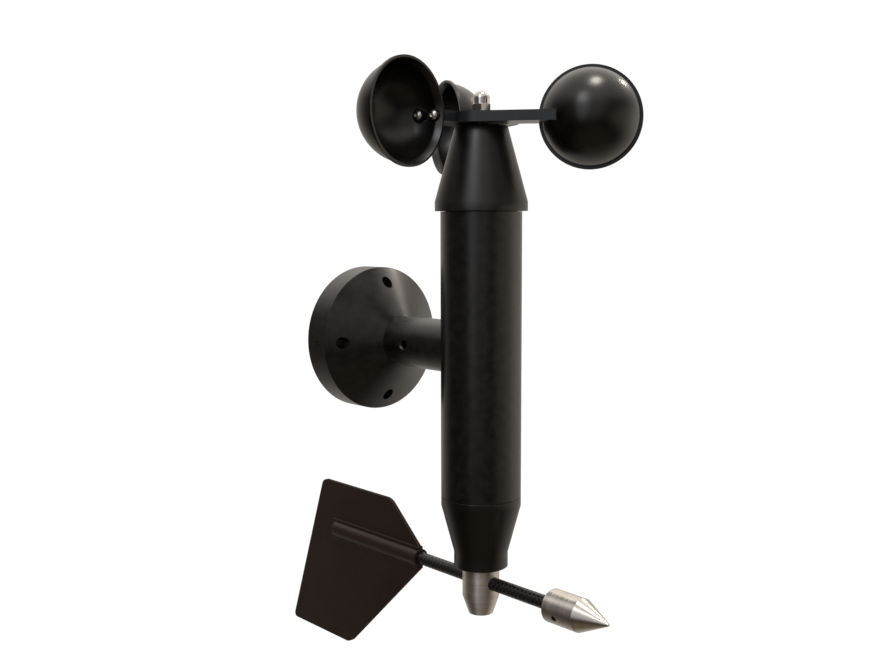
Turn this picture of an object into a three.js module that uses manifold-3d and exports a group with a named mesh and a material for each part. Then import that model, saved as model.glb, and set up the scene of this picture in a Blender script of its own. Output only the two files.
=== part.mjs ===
// Cup anemometer with wind vane: a cup rotor on top of an upright tube, a tail vane below it,
// and a side arm with a coned flange that bolts to a mast.
//
// Millimetres, +Z up. The origin is the centre of the flange's mounting face. The side arm runs
// along -Y to the sensor axis, which is upright. Heights are measured from the arm's centre line.

import * as THREE from 'three';
import { mergeVertices } from 'three/addons/utils/BufferGeometryUtils.js';
import Module from 'manifold-3d';

const wasm = await Module();
wasm.setup();

// ---------------------------------------------------------------- driving dimensions

const reach = 138; // mounting face to sensor axis

const flangeRadius = 58;
const flangeRim = 21.4; // thickness of the flange's edge
const flangeDepth = 48.2; // mounting face to the neck, where the cone meets the arm
const boltCircleRadius = 46;
const boltHoleRadius = 4.5;
const boltCount = 4;
const rimDimpleRadius = 1;
const rimDimpleDepth = 1.5;
const cableWayRadius = 11;
const glandRadius = 14;
const glandThickness = 3.6;
const cableRadius = 4.5;

const armRadius = 20;
const armWall = 3.5;
const spigotEnd = 85; // how far the flange's spigot reaches along the arm
const armScrewPlace = 72; // mounting face to the set screw in the arm
const armScrewRadius = 2.9;
const armScrewLength = 7;
const armScrewSink = 1.2; // how deep the screw sits below the arm's surface

const tubeRadius = 30;
const tubeWall = 3.5;
const tubeTop = 102.3;
const tubeBottom = -109.5;
const wireHoleRadius = 12;

const headSpigotLength = 18;
const rimOverhang = 4.1; // how far the upper head's rim stands out past the tube
const rimHeight = 6.8;
const coneRadius = 19.2; // top of the upper cone
const upperHeadLength = 61.7; // tube's end to the top of the cone
const bandHeight = 7;
const taperLength = 43.3; // tube's end to the bottom of the lower head's taper
const lowerNoseRadius = 20.35;
const lowerHeadLength = 54.2;
const headSpigotWall = 4.3; // left around the space for the circuit boards
const boreWebHeight = 5; // between the retaining ring's bore and that space

const oRingSection = 0.8;
const oRingGrooveDepth = 1.7;
const oRingGrooveWidth = 2.4;
const oRingFromShoulder = 11.5;

const rotorBearing = { bore: 4, outer: 11, width: 7, ball: 1.9, balls: 7 };
const vaneBearing = { bore: 5, outer: 11, width: 6, ball: 1.6, balls: 8 };
const raceDepth = 0.75; // how deep a ball's groove is cut below the shoulders beside it
const bearingLip = 3.5; // thickness of the lip that a bearing seats against
const rotorBearingSpan = 31; // between the two rotor bearings
const vaneBearingSpan = 28;
const circlipThickness = 1;
const circlipGroove = 0.8;
const circlipGap = 50; // degrees

const rotorSleeveRadius = 6.8;
const rotorShaftLength = 86;
const collarRadius = 5.8;
const collarHeight = 4;
const slotDiscRadius = 15;
const slotDiscThickness = 1;
const slotDiscHubRadius = 7;
const slotDiscHubHeight = 6;
const slotDiscLift = 1; // above the shaft's lower end
const slotCount = 12;
const slotLength = 4;
const slotWidth = 2;
const sleeveFoot = 1; // height of the sleeve's narrow foot

const spiderThickness = 7.5;
const spiderGap = 1.1; // between the upper head and the spider
const spiderHubRadius = 27;
const rotorRadius = 78.7; // sensor axis to a cup's centre
const armTip = rotorRadius - 21.7; // sensor axis to the tip of a spider arm
const cupCount = 3;
const firstCupAngle = -52.9; // degrees about +Z
const cupRadius = 35; // outside of the ball shape
const cupWall = 1.6;
const cupLipRadius = cupRadius + 2;
const cupLipThickness = 2;
const cupLipWidth = 1.6; // flat of the lip, round the mouth
const cupFlareDepth = 4; // over which the inside widens to the mouth

const cupScrewRadius = 2;
const cupScrewHeadRadius = 3.8;
const cupScrewHeadHeight = 2.2;
const cupScrewSocket = 1.25; // half the socket's width across flats
const cupScrewSocketDepth = 1.4;
const cupScrewEdge = 0.4;
const cupScrewGrip = 15; // from under the head to the tip
const cupScrewPlaces = [-6, -15.7]; // along the cup's axis, behind its mouth
const padRadius = 4.6;

const washerRadius = 8;
const washerThickness = 1.6;
const nutHalfFlats = 6.5;
const nutHexHeight = 5.6;
const nutHeight = 15;
const nutDomeRadius = 6.1;
const nutBoreDepth = 11;
const nutAngle = -14.7; // degrees, one corner of the hexagon

const hubGap = 0.8; // between the lower head and the vane hub
const hubRadius = 14;
const hubStraight = 22.5;
const hubHeight = 36;
const hubTipRadius = 9.3;
const rodDrop = 11; // hub top to rod centre
const rodRadius = 5;
const rodWall = 1.5;
const threadRadius = 4;
const hubScrewRadius = 2.9;
const hubScrewLength = 10;
const vaneShaftReach = 14; // from the bearing's collar to the shaft's upper end
const vaneHeading = -90.9; // degrees about +Z, the way that the counterweight points

const weightRadius = 12;
const weightStart = 73.4; // sensor axis to the counterweight's back face
const weightShoulder = 100.6;
const weightTip = 124.2;
const weightTipRadius = 1;
const weightBoreDepth = 22;
const weightScrewPlace = 84.5;
const weightScrewRadius = 1.9;
const weightScrewSink = 0.5;
const weightScrewLength = weightRadius - weightScrewSink - rodRadius - 0.5;
const weightScrewAngle = 19.9; // degrees below the level

const finThickness = 3;
const finTop = 42; // above the rod
const finBottom = -99;
const finTopNear = 107.4; // distances behind the sensor axis
const finTopFar = 202;
const finBottomNear = 165.4;
const finBottomFar = 252.4;
const finRoot = 60.7; // where the two leading edges would meet on the rod's centre line
const finCornerRadius = 5;
const socketRadius = rodRadius + 1.1;
const socketPadHalf = 9.4; // the raised strip along the socket, rod's middle to its edge
const socketPadRise = 1; // above the plate
const socketStart = 70;
const socketEnd = 187;
const socketBoreEnd = 178;

const boardEdgeGap = 0.6; // between a board and the wall around it
const boardThickness = 1.6;
const boardNotchWidth = 8;
const boardNotchDepth = 3;
const standoffRadius = 2.2;
const standoffInset = 2.8; // board's edge to a standoff's middle
const speedBoardDrop = 15; // tube top to the speed board's upper face
const magnetRadius = 3;
const magnetThickness = 2.5;
const magnetHolderRadius = 4.6;
const magnetHolderFloor = 2;
const magnetToChip = 1;
const chipWidth = 5;
const chipThickness = 1.2;
const slotSensorWidth = 8;
const slotSensorCover = 3; // above the slotted disc
const slotSensorReach = 5; // how far its slot takes in the disc

// clearances
const seamGap = 0.3; // between pieces that are cut by, or end against, one another
const slideFit = 0.2; // radial, a spigot in a tube
const shaftFit = 0.15; // radial, a shaft in a hub or ring
const stackGap = 0.05; // between washers, sleeves and rings stacked on one shaft
const ballGap = 0.15;
const runGap = 0.5; // between a turning sleeve and the lip around it
const past = 1; // how far a cutting tool reaches past the face that it cuts
const chamfer = 0.6;

// facets
const coarse = 12;
const medium = 20;
const fine = 32;
const cupSteps = 7;

// ---------------------------------------------------------------- shape helpers

function solid(geometry) {
  const bare = geometry.clone();
  bare.deleteAttribute('normal');
  bare.deleteAttribute('uv');
  const merged = mergeVertices(bare, 1e-4);
  const corners = merged.index.array;
  const triangles = [];
  for (let i = 0; i < corners.length; i += 3) {
    const [a, b, c] = corners.slice(i, i + 3);
    if (a !== b && b !== c && c !== a) triangles.push(a, b, c);
  }
  return new wasm.Manifold(new wasm.Mesh({
    numProp: 3,
    vertProperties: merged.attributes.position.array,
    triVerts: new Uint32Array(triangles),
  }));
}

function geometryOf(manifold) {
  const mesh = manifold.getMesh();
  const geometry = new THREE.BufferGeometry();
  geometry.setAttribute('position', new THREE.BufferAttribute(mesh.vertProperties, 3));
  geometry.setIndex(new THREE.BufferAttribute(mesh.triVerts, 1));
  geometry.computeVertexNormals();
  return geometry;
}

function cut(geometry, ...tools) {
  let result = solid(geometry);
  for (const tool of tools) result = result.subtract(solid(tool));
  return geometryOf(result);
}

function join(geometry, ...others) {
  let result = solid(geometry);
  for (const other of others) result = result.add(solid(other));
  return geometryOf(result);
}

function common(geometry, other) {
  return geometryOf(solid(geometry).intersect(solid(other)));
}

// A solid turned about Z from [radius, height] points that run anticlockwise in that plane.
// An outline that stays off the axis is closed here.
function turned(outline, segments) {
  const points = outline.map(([radius, height]) => new THREE.Vector2(radius, height));
  const offAxis = outline.every(([radius]) => radius > 0);
  if (offAxis) points.push(points[0].clone());
  return new THREE.LatheGeometry(points, segments).rotateX(Math.PI / 2);
}

function ring(inner, outer, low, high, segments) {
  return turned([[inner, low], [outer, low], [outer, high], [inner, high]], segments);
}

function rod(radius, low, high, segments) {
  return turned([[0, low], [radius, low], [radius, high], [0, high]], segments);
}

// A six-sided prism with one corner on +X.
function hexagon(halfFlats, low, high) {
  const prism = new THREE.CylinderGeometry(1, 1, high - low, 6).rotateX(Math.PI / 2);
  prism.rotateZ(Math.PI / 6);
  const corner = halfFlats / Math.cos(Math.PI / 6);
  return prism.scale(corner, corner, 1).translate(0, 0, (low + high) / 2);
}

// Points of an arc in the [radius, height] plane, from one angle to another, in degrees.
function arc(centreRadius, centreHeight, radius, from, to, steps) {
  const points = [];
  for (let i = 0; i <= steps; i += 1) {
    const angle = THREE.MathUtils.degToRad(from + ((to - from) * i) / steps);
    const across = centreRadius + radius * Math.cos(angle);
    points.push([Math.abs(across) < 1e-6 ? 0 : across, centreHeight + radius * Math.sin(angle)]);
  }
  return points;
}

// Turns a piece made along +Z so that +Z runs from the mounting face towards the sensor axis.
const alongArm = (geometry) => geometry.rotateX(Math.PI / 2);

// ---------------------------------------------------------------- finishes and scene graph

const finish = (color, roughness, metalness) => ({ color, roughness, metalness });
const anodised = finish(0x2a2725, 0.4, 0.6);
const cupPaint = finish(0x1f1c1a, 0.35, 0.1);
const finPlastic = finish(0x2b211b, 0.6, 0);
const carbon = finish(0x23211f, 0.45, 0.1);
const stainless = finish(0xa8a29a, 0.3, 1);
const bearingSteel = finish(0xb4b6b8, 0.2, 1);
const rubber = finish(0x161616, 0.8, 0);
const circuitBoard = finish(0x1d5a38, 0.5, 0);
const blackPlastic = finish(0x18181a, 0.5, 0);
const nylon = finish(0xd8d4c6, 0.6, 0);
const brass = finish(0xb08d4a, 0.35, 1);
const magnetCoat = finish(0xc2c4c6, 0.3, 1);

const anemometer = new THREE.Group();
const sensor = new THREE.Group(); // everything on the upright sensor axis
sensor.position.y = -reach;
const vane = new THREE.Group(); // local +X runs forward along the vane, at the rod's height
anemometer.add(sensor);
sensor.add(vane);

function add(group, name, geometry, look) {
  const mesh = new THREE.Mesh(geometry, new THREE.MeshStandardMaterial(look));
  mesh.name = name;
  group.add(mesh);
  return mesh;
}

// ---------------------------------------------------------------- flange and side arm

const armBore = armRadius - armWall;
const spigotRadius = armBore - slideFit;
const armScrewHole = armScrewRadius + seamGap;

// A hole that comes into the arm from the -X side at the set screw's place.
function armScrewDrill(radius, fromAxis) {
  const drill = rod(radius, fromAxis, armRadius + seamGap, coarse);
  return drill.rotateY(-Math.PI / 2).translate(0, -armScrewPlace, 0);
}

function mountingFlange() {
  const glandSeat = glandRadius + seamGap;
  const glandDepth = glandThickness + seamGap;
  const body = alongArm(turned([
    [glandSeat, 0],
    [flangeRadius - chamfer, 0],
    [flangeRadius, chamfer],
    [flangeRadius, flangeRim - chamfer],
    [flangeRadius - chamfer, flangeRim],
    [armRadius, flangeDepth],
    [spigotRadius, flangeDepth],
    [spigotRadius, spigotEnd],
    [cableWayRadius, spigotEnd],
    [cableWayRadius, glandDepth],
    [glandSeat, glandDepth],
  ], fine));
  const holes = [];
  for (let i = 0; i < boltCount; i += 1) {
    const angle = (i * 2 * Math.PI) / boltCount;
    const hole = alongArm(rod(boltHoleRadius, -past, flangeDepth, coarse));
    hole.translate(boltCircleRadius * Math.cos(angle), 0, boltCircleRadius * Math.sin(angle));
    holes.push(hole);
  }
  const dimple = rod(rimDimpleRadius, flangeRadius - rimDimpleDepth, flangeRadius + past, coarse / 2);
  dimple.rotateY(-Math.PI / 2).translate(0, -flangeRim / 2, 0);
  return cut(body, ...holes, dimple, armScrewDrill(armScrewHole, cableWayRadius - past));
}

function sideArm() {
  const tube = alongArm(ring(armBore, armRadius, flangeDepth + seamGap, reach, fine));
  const saddle = rod(tubeRadius + seamGap, -2 * armRadius, 2 * armRadius, fine);
  saddle.translate(0, -reach, 0);
  const sinkRadius = armScrewHole + armScrewSink;
  const sink = turned([[0, armRadius - armScrewSink], [armScrewHole, armRadius - armScrewSink],
    [sinkRadius + seamGap, armRadius + seamGap], [0, armRadius + seamGap]], coarse);
  sink.rotateY(-Math.PI / 2).translate(0, -armScrewPlace, 0);
  return cut(tube, saddle, armScrewDrill(armScrewHole, armBore - past), sink);
}

// A hexagon-socket set screw along +Z with its socket end at the given height.
function setScrew(radius, length, top) {
  const edge = radius / 6;
  const body = turned([
    [0, top - length],
    [radius - 2 * edge, top - length],
    [radius, top - length + 2 * edge],
    [radius, top - edge],
    [radius - edge, top],
    [0, top],
  ], coarse);
  return cut(body, hexagon(radius / 2, top - radius, top + past));
}

function cableGland() {
  return alongArm(turned([
    [cableRadius, seamGap],
    [glandRadius, seamGap],
    [glandRadius, glandThickness],
    [cableWayRadius - seamGap, glandThickness],
    [cableWayRadius - seamGap, 3 * glandThickness],
    [cableRadius, 3 * glandThickness],
  ], coarse));
}

add(anemometer, 'mounting_flange', mountingFlange(), anodised);
add(anemometer, 'side_arm', sideArm(), anodised);
const armScrew = setScrew(armScrewRadius, armScrewLength, armRadius - armScrewSink);
armScrew.rotateY(-Math.PI / 2).translate(0, -armScrewPlace, 0);
add(anemometer, 'arm_set_screw', armScrew, stainless);
add(anemometer, 'cable_gland', cableGland(), rubber);

// ---------------------------------------------------------------- main tube

const tubeBore = tubeRadius - tubeWall;

function mainTube() {
  const edge = chamfer / 2;
  const tube = turned([
    [tubeBore, tubeBottom],
    [tubeRadius - edge, tubeBottom],
    [tubeRadius, tubeBottom + edge],
    [tubeRadius, tubeTop - edge],
    [tubeRadius - edge, tubeTop],
    [tubeBore, tubeTop],
  ], fine);
  const wireHole = rod(wireHoleRadius, tubeBore - tubeWall, tubeRadius + past, medium);
  return cut(tube, wireHole.rotateX(-Math.PI / 2));
}

add(sensor, 'main_tube', mainTube(), anodised);

// ---------------------------------------------------------------- bearing heads

// Both heads are described upwards from the tube's end; the lower one is turned over.
const headSpigotRadius = tubeBore - slideFit;
const cavityRadius = headSpigotRadius - headSpigotWall;
const grooveRadius = headSpigotRadius - oRingGrooveDepth;

function headSpigot() {
  const grooveTop = -oRingFromShoulder + oRingGrooveWidth / 2;
  const grooveLow = grooveTop - oRingGrooveWidth;
  return [
    [cavityRadius, -headSpigotLength],
    [headSpigotRadius, -headSpigotLength],
    [headSpigotRadius, grooveLow],
    [grooveRadius, grooveLow],
    [grooveRadius, grooveTop],
    [headSpigotRadius, grooveTop],
    [headSpigotRadius, 0],
  ];
}

// The bore from the nose inwards: lip, bearing seat, retaining-ring groove, mouth of the cavity.
function headBore(height, lipRadius, seatRadius, seatEnd, cavityTop) {
  const grooveTop = seatEnd - stackGap;
  const grooveLow = grooveTop - circlipThickness - 2 * stackGap;
  return [
    [lipRadius, height],
    [lipRadius, height - bearingLip],
    [seatRadius, height - bearingLip],
    [seatRadius, grooveTop],
    [seatRadius + circlipGroove, grooveTop],
    [seatRadius + circlipGroove, grooveLow],
    [seatRadius, grooveLow],
    [seatRadius, cavityTop],
    [cavityRadius, cavityTop],
  ];
}

const bearingSeat = rotorBearing.outer + slideFit / 2;
const rimRadius = tubeRadius + rimOverhang;
const upperHeadTop = tubeTop + upperHeadLength;
const upperShoulder = tubeTop + seamGap;
const upperHeadHeight = upperHeadTop - upperShoulder;
const upperSeatEnd = upperHeadHeight - bearingLip - 2 * rotorBearing.width - rotorBearingSpan - stackGap;
const upperCavityTop = upperSeatEnd - boreWebHeight;
const upperLipRadius = rotorSleeveRadius + runGap;

function upperHead() {
  const outline = [
    ...headSpigot(),
    [rimRadius - chamfer, 0],
    [rimRadius, chamfer],
    [rimRadius, rimHeight],
    [coneRadius, upperHeadHeight - chamfer],
    [coneRadius - chamfer, upperHeadHeight],
    ...headBore(upperHeadHeight, upperLipRadius, bearingSeat, upperSeatEnd, upperCavityTop),
  ];
  return turned(outline, fine);
}

const lowerHeadBottom = tubeBottom - lowerHeadLength;
const lowerShoulder = tubeBottom - seamGap;
const lowerHeadHeight = lowerShoulder - lowerHeadBottom;
const lowerSeatEnd = lowerHeadHeight - bearingLip - 2 * vaneBearing.width - vaneBearingSpan - stackGap;
const lowerCavityTop = lowerSeatEnd - boreWebHeight;
const vaneShaftRadius = vaneBearing.bore;
const lowerLipRadius = vaneShaftRadius + vaneBearing.ball;

function lowerHead() {
  const outline = [
    ...headSpigot(),
    [tubeRadius - chamfer / 2, 0],
    [tubeRadius, chamfer / 2],
    [tubeRadius, bandHeight],
    [lowerNoseRadius, taperLength - seamGap],
    [lowerNoseRadius, lowerHeadHeight - chamfer],
    [lowerNoseRadius - chamfer, lowerHeadHeight],
    ...headBore(lowerHeadHeight, lowerLipRadius, bearingSeat, lowerSeatEnd, lowerCavityTop),
  ];
  return turned(outline, fine);
}

function headORing() {
  const centre = (grooveRadius + tubeBore) / 2;
  const section = arc(centre, -oRingFromShoulder, oRingSection, 0, 300, 5);
  return turned(section, fine);
}

function placeInUpper(mesh) {
  mesh.position.z = upperShoulder;
}

function placeInLower(mesh) {
  mesh.rotation.x = Math.PI;
  mesh.position.z = lowerShoulder;
}

placeInUpper(add(sensor, 'upper_bearing_head', upperHead(), anodised));
placeInLower(add(sensor, 'lower_bearing_head', lowerHead(), anodised));
placeInUpper(add(sensor, 'upper_o_ring', headORing(), rubber));
placeInLower(add(sensor, 'lower_o_ring', headORing(), rubber));

// ---------------------------------------------------------------- bearings

const pitchRadius = (bearing) => (bearing.bore + bearing.outer) / 2;

function outerRing(bearing) {
  const half = bearing.width / 2;
  const groove = pitchRadius(bearing) + bearing.ball + ballGap;
  return turned([
    [bearing.outer, -half],
    [bearing.outer, half],
    [groove - raceDepth, half],
    [groove, 0],
    [groove - raceDepth, -half],
  ], medium);
}

function innerRing(bearing) {
  const half = bearing.width / 2;
  const groove = pitchRadius(bearing) - bearing.ball - ballGap;
  return turned([
    [bearing.bore + shaftFit, -half],
    [groove + raceDepth, -half],
    [groove, 0],
    [groove + raceDepth, half],
    [bearing.bore + shaftFit, half],
  ], medium);
}

// The balls and the cage that carries them round, as one running set.
function ballSet(bearing) {
  const pitch = pitchRadius(bearing);
  const web = bearing.ball / 3;
  const cage = ring(pitch - web, pitch + web, -web, web, coarse);
  const balls = [];
  for (let i = 0; i < bearing.balls; i += 1) {
    const angle = (i * 2 * Math.PI) / bearing.balls;
    const ball = new THREE.OctahedronGeometry(bearing.ball, 1);
    balls.push(ball.translate(pitch * Math.cos(angle), pitch * Math.sin(angle), 0));
  }
  return join(cage, ...balls);
}

function addBearing(name, bearing, height) {
  add(sensor, `${name}_outer_ring`, outerRing(bearing), bearingSteel).position.z = height;
  add(sensor, `${name}_inner_ring`, innerRing(bearing), bearingSteel).position.z = height;
  add(sensor, `${name}_ball_set`, ballSet(bearing), bearingSteel).position.z = height;
}

function circlip() {
  const inner = bearingSeat - 1.6;
  const outer = bearingSeat + circlipGroove - slideFit;
  const whole = ring(inner, outer, 0, circlipThickness, medium);
  const half = THREE.MathUtils.degToRad(circlipGap / 2);
  const wedge = new THREE.Shape([
    new THREE.Vector2(0, 0),
    new THREE.Vector2(2 * outer * Math.cos(half), -2 * outer * Math.sin(half)),
    new THREE.Vector2(2 * outer * Math.cos(half), 2 * outer * Math.sin(half)),
  ]);
  const notch = new THREE.ExtrudeGeometry(wedge, { depth: 3 * circlipThickness, bevelEnabled: false });
  return cut(whole, notch.translate(0, 0, -circlipThickness));
}

const upperSeatTop = upperHeadTop - bearingLip;
const rotorUpperBearing = upperSeatTop - stackGap - rotorBearing.width / 2;
const rotorLowerBearing = rotorUpperBearing - rotorBearing.width - rotorBearingSpan;
addBearing('rotor_upper', rotorBearing, rotorUpperBearing);
addBearing('rotor_lower', rotorBearing, rotorLowerBearing);
const rotorClip = add(sensor, 'rotor_bearing_circlip', circlip(), bearingSteel);
rotorClip.position.z = rotorLowerBearing - rotorBearing.width / 2 - 2 * stackGap - circlipThickness;

const lowerSeatFloor = lowerHeadBottom + bearingLip;
const vaneLowerBearing = lowerSeatFloor + stackGap + vaneBearing.width / 2;
const vaneUpperBearing = vaneLowerBearing + vaneBearing.width + vaneBearingSpan;
addBearing('vane_upper', vaneBearing, vaneUpperBearing);
addBearing('vane_lower', vaneBearing, vaneLowerBearing);
const vaneClip = add(sensor, 'vane_bearing_circlip', circlip(), bearingSteel);
vaneClip.position.z = vaneUpperBearing + vaneBearing.width / 2 + 2 * stackGap;

// ---------------------------------------------------------------- rotor shaft and its stack

const spiderLow = upperHeadTop + spiderGap;
const spiderTop = spiderLow + spiderThickness;
const washerLow = spiderTop + stackGap;
const nutLow = washerLow + washerThickness + stackGap;
const shaftTop = nutLow + nutBoreDepth - seamGap;
const shaftBottom = shaftTop - rotorShaftLength;
const shaftRadius = rotorBearing.bore;
const sleeveBore = shaftRadius + shaftFit;
const collarTop = rotorLowerBearing - rotorBearing.width / 2 - stackGap;

function rotorShaft() {
  return turned([
    [0, shaftBottom],
    [shaftRadius, shaftBottom],
    [shaftRadius, collarTop - collarHeight],
    [collarRadius, collarTop - collarHeight],
    [collarRadius, collarTop],
    [shaftRadius, collarTop],
    [shaftRadius, shaftTop - chamfer],
    [shaftRadius - chamfer, shaftTop],
    [0, shaftTop],
  ], coarse);
}

function bearingSpacer(bearing, low, high) {
  const outer = pitchRadius(bearing) - bearing.ball;
  return ring(bearing.bore + shaftFit, outer, low + stackGap, high - stackGap, coarse);
}

const slotDiscLow = shaftBottom + slotDiscLift;

function slotDisc() {
  const hubTop = slotDiscLow + slotDiscHubHeight;
  const plateLow = slotDiscLow + slotDiscHubHeight / 2;
  const blank = turned([
    [sleeveBore, slotDiscLow],
    [slotDiscHubRadius, slotDiscLow],
    [slotDiscHubRadius, plateLow],
    [slotDiscRadius, plateLow],
    [slotDiscRadius, plateLow + slotDiscThickness],
    [slotDiscHubRadius, plateLow + slotDiscThickness],
    [slotDiscHubRadius, hubTop],
    [sleeveBore, hubTop],
  ], medium);
  const slots = [];
  const slotMiddle = slotDiscRadius - slotLength / 2 - slotDiscThickness;
  for (let i = 0; i < slotCount; i += 1) {
    const slot = new THREE.BoxGeometry(slotLength, slotWidth, 4 * slotDiscThickness);
    slot.translate(slotMiddle, 0, plateLow).rotateZ((i * 2 * Math.PI) / slotCount);
    slots.push(slot);
  }
  return cut(blank, ...slots);
}

add(sensor, 'rotor_shaft', rotorShaft(), stainless);
add(sensor, 'rotor_bearing_spacer', bearingSpacer(rotorBearing,
  rotorLowerBearing + rotorBearing.width / 2, rotorUpperBearing - rotorBearing.width / 2), stainless);
const sleeveLow = rotorUpperBearing + rotorBearing.width / 2 + stackGap;

// Its foot bears on the inner ring only; the wider part fills the hole in the head's lip.
function spiderSleeve() {
  const foot = pitchRadius(rotorBearing) - rotorBearing.ball;
  return turned([
    [sleeveBore, sleeveLow],
    [foot, sleeveLow],
    [foot, sleeveLow + sleeveFoot],
    [rotorSleeveRadius, sleeveLow + sleeveFoot],
    [rotorSleeveRadius, spiderLow - stackGap],
    [sleeveBore, spiderLow - stackGap],
  ], medium);
}

add(sensor, 'spider_sleeve', spiderSleeve(), stainless);
add(sensor, 'slot_disc', slotDisc(), blackPlastic);

// ---------------------------------------------------------------- spider, cups, cap nut

const spiderMiddle = (spiderLow + spiderTop) / 2;
const cupAngle = (i) => THREE.MathUtils.degToRad(firstCupAngle + (i * 360) / cupCount);

// A shape made in a cup's own place, turned to lie where that cup's arm is. Local X runs out
// along the arm, local Y the way the cup's mouth faces.
const atCup = (geometry, i) => geometry.rotateZ(cupAngle(i)).translate(0, 0, spiderMiddle);

// Turns a shape made about +Z so that +Z becomes the way the cup's mouth faces.
const facingMouth = (geometry) => geometry.rotateX(-Math.PI / 2).translate(rotorRadius, 0, 0);

function cupSpider() {
  let plate = rod(spiderHubRadius, spiderLow, spiderTop, fine);
  for (let i = 0; i < cupCount; i += 1) {
    const bar = new THREE.BoxGeometry(armTip, spiderHubRadius, spiderThickness);
    plate = join(plate, atCup(bar.translate(armTip / 2, -spiderHubRadius / 2, 0), i));
  }
  const cuts = [rod(sleeveBore, spiderLow - past, spiderTop + past, coarse)];
  for (let i = 0; i < cupCount; i += 1) {
    const ball = new THREE.SphereGeometry(cupRadius + seamGap, fine, medium);
    cuts.push(atCup(facingMouth(ball), i));
    const lip = rod(cupLipRadius + seamGap, -cupLipThickness - seamGap, past, fine);
    cuts.push(atCup(facingMouth(lip), i));
    for (const place of cupScrewPlaces) {
      const depth = cupSeat(place) - cupScrewGrip - past;
      const hole = rod(cupScrewRadius + shaftFit, depth, 0, coarse);
      hole.rotateY(Math.PI / 2).translate(rotorRadius, place, 0);
      cuts.push(atCup(hole, i));
    }
  }
  return cut(plate, ...cuts);
}

// Where a cup screw's head sits, along the arm and measured from the cup's centre.
function cupSeat(place) {
  const inside = cupRadius - cupWall;
  const farEdge = Math.abs(place) + padRadius;
  return -Math.sqrt(inside * inside - farEdge * farEdge);
}

function cup() {
  const inside = cupRadius - cupWall;
  const lipAngle = -THREE.MathUtils.radToDeg(Math.asin(cupLipThickness / cupRadius));
  const flareAngle = -THREE.MathUtils.radToDeg(Math.asin(cupFlareDepth / inside));
  const shell = turned([
    ...arc(0, 0, cupRadius, -90, lipAngle, cupSteps),
    [cupLipRadius, -cupLipThickness],
    [cupLipRadius, 0],
    [cupLipRadius - cupLipWidth, 0],
    ...arc(0, 0, inside, flareAngle, -90, cupSteps),
  ], medium);
  const pads = cupScrewPlaces.map((place) => {
    const pad = rod(padRadius, -cupRadius, cupSeat(place), coarse);
    return pad.rotateY(Math.PI / 2).translate(0, 0, place);
  });
  const skin = new THREE.SphereGeometry(cupRadius - cupWall / 2, medium, coarse);
  const padded = join(shell, ...pads.map((pad) => common(pad, skin)));
  const holes = cupScrewPlaces.map((place) => {
    const hole = rod(cupScrewRadius + shaftFit, -cupRadius - past, cupSeat(place) + past, coarse);
    return hole.rotateY(Math.PI / 2).translate(0, 0, place);
  });
  return cut(padded, ...holes);
}

// A button-head screw whose head sits on the plane z = 0, its shank running down.
function buttonScrew() {
  const crown = cupScrewHeadRadius * 0.55;
  const body = turned([
    [0, -cupScrewGrip],
    [cupScrewRadius - cupScrewEdge, -cupScrewGrip],
    [cupScrewRadius, cupScrewEdge - cupScrewGrip],
    [cupScrewRadius, stackGap],
    [cupScrewHeadRadius, stackGap],
    [cupScrewHeadRadius, cupScrewEdge],
    [cupScrewHeadRadius - 2 * cupScrewEdge, cupScrewHeadHeight * 0.7],
    [crown, cupScrewHeadHeight],
    [0, cupScrewHeadHeight],
  ], coarse);
  const socketFloor = cupScrewHeadHeight - cupScrewSocketDepth;
  return cut(body, hexagon(cupScrewSocket, socketFloor, cupScrewHeadHeight + past));
}

add(sensor, 'cup_spider', cupSpider(), anodised);
for (let i = 0; i < cupCount; i += 1) {
  add(sensor, `cup_${i + 1}`, atCup(facingMouth(cup()), i), cupPaint);
  cupScrewPlaces.forEach((place, j) => {
    const screw = buttonScrew().rotateY(Math.PI / 2).translate(rotorRadius + cupSeat(place), place, 0);
    add(sensor, `cup_${i + 1}_screw_${j + 1}`, atCup(screw, i), stainless);
  });
}

function capNut() {
  const corner = nutHalfFlats / Math.cos(Math.PI / 6);
  const chamferBody = turned([
    [0, 0],
    [nutHalfFlats, 0],
    [corner, chamfer],
    [corner, nutHexHeight - chamfer],
    [nutHalfFlats - chamfer / 2, nutHexHeight],
    [0, nutHexHeight],
  ], medium);
  const hex = common(hexagon(nutHalfFlats, 0, nutHexHeight), chamferBody);
  const domeStart = nutHeight - nutDomeRadius;
  const dome = turned([
    [0, nutHexHeight - chamfer],
    [nutDomeRadius, nutHexHeight - chamfer],
    ...arc(0, domeStart, nutDomeRadius, 0, 90, 6),
  ], medium);
  const bore = rod(sleeveBore, -past, nutBoreDepth, coarse);
  return cut(join(hex, dome), bore).rotateZ(THREE.MathUtils.degToRad(nutAngle));
}

const washer = ring(sleeveBore, washerRadius, washerLow, washerLow + washerThickness, medium);
add(sensor, 'nut_washer', washer, stainless);
add(sensor, 'cap_nut', capNut(), stainless).position.z = nutLow;

// ---------------------------------------------------------------- vane shaft, hub and rod

const hubTop = lowerHeadBottom - hubGap;
const hubBottom = hubTop - hubHeight;
const rodHeight = hubTop - rodDrop;
const rodHoleRadius = rodRadius + shaftFit;
const threadBottom = rodHeight + rodHoleRadius + seamGap;
const vaneCollarLow = vaneUpperBearing + vaneBearing.width / 2 + stackGap;
const vaneShaftTop = vaneCollarLow + vaneShaftReach;
const vaneTurn = THREE.MathUtils.degToRad(vaneHeading);

function vaneShaft() {
  const collar = pitchRadius(vaneBearing) - vaneBearing.ball;
  return turned([
    [0, threadBottom],
    [threadRadius, threadBottom],
    [threadRadius, hubTop + stackGap],
    [vaneShaftRadius, hubTop + stackGap],
    [vaneShaftRadius, vaneCollarLow],
    [collar, vaneCollarLow],
    [collar, vaneCollarLow + collarHeight],
    [threadRadius, vaneCollarLow + collarHeight],
    [threadRadius, vaneShaftTop],
    [0, vaneShaftTop],
  ], coarse);
}

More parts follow.
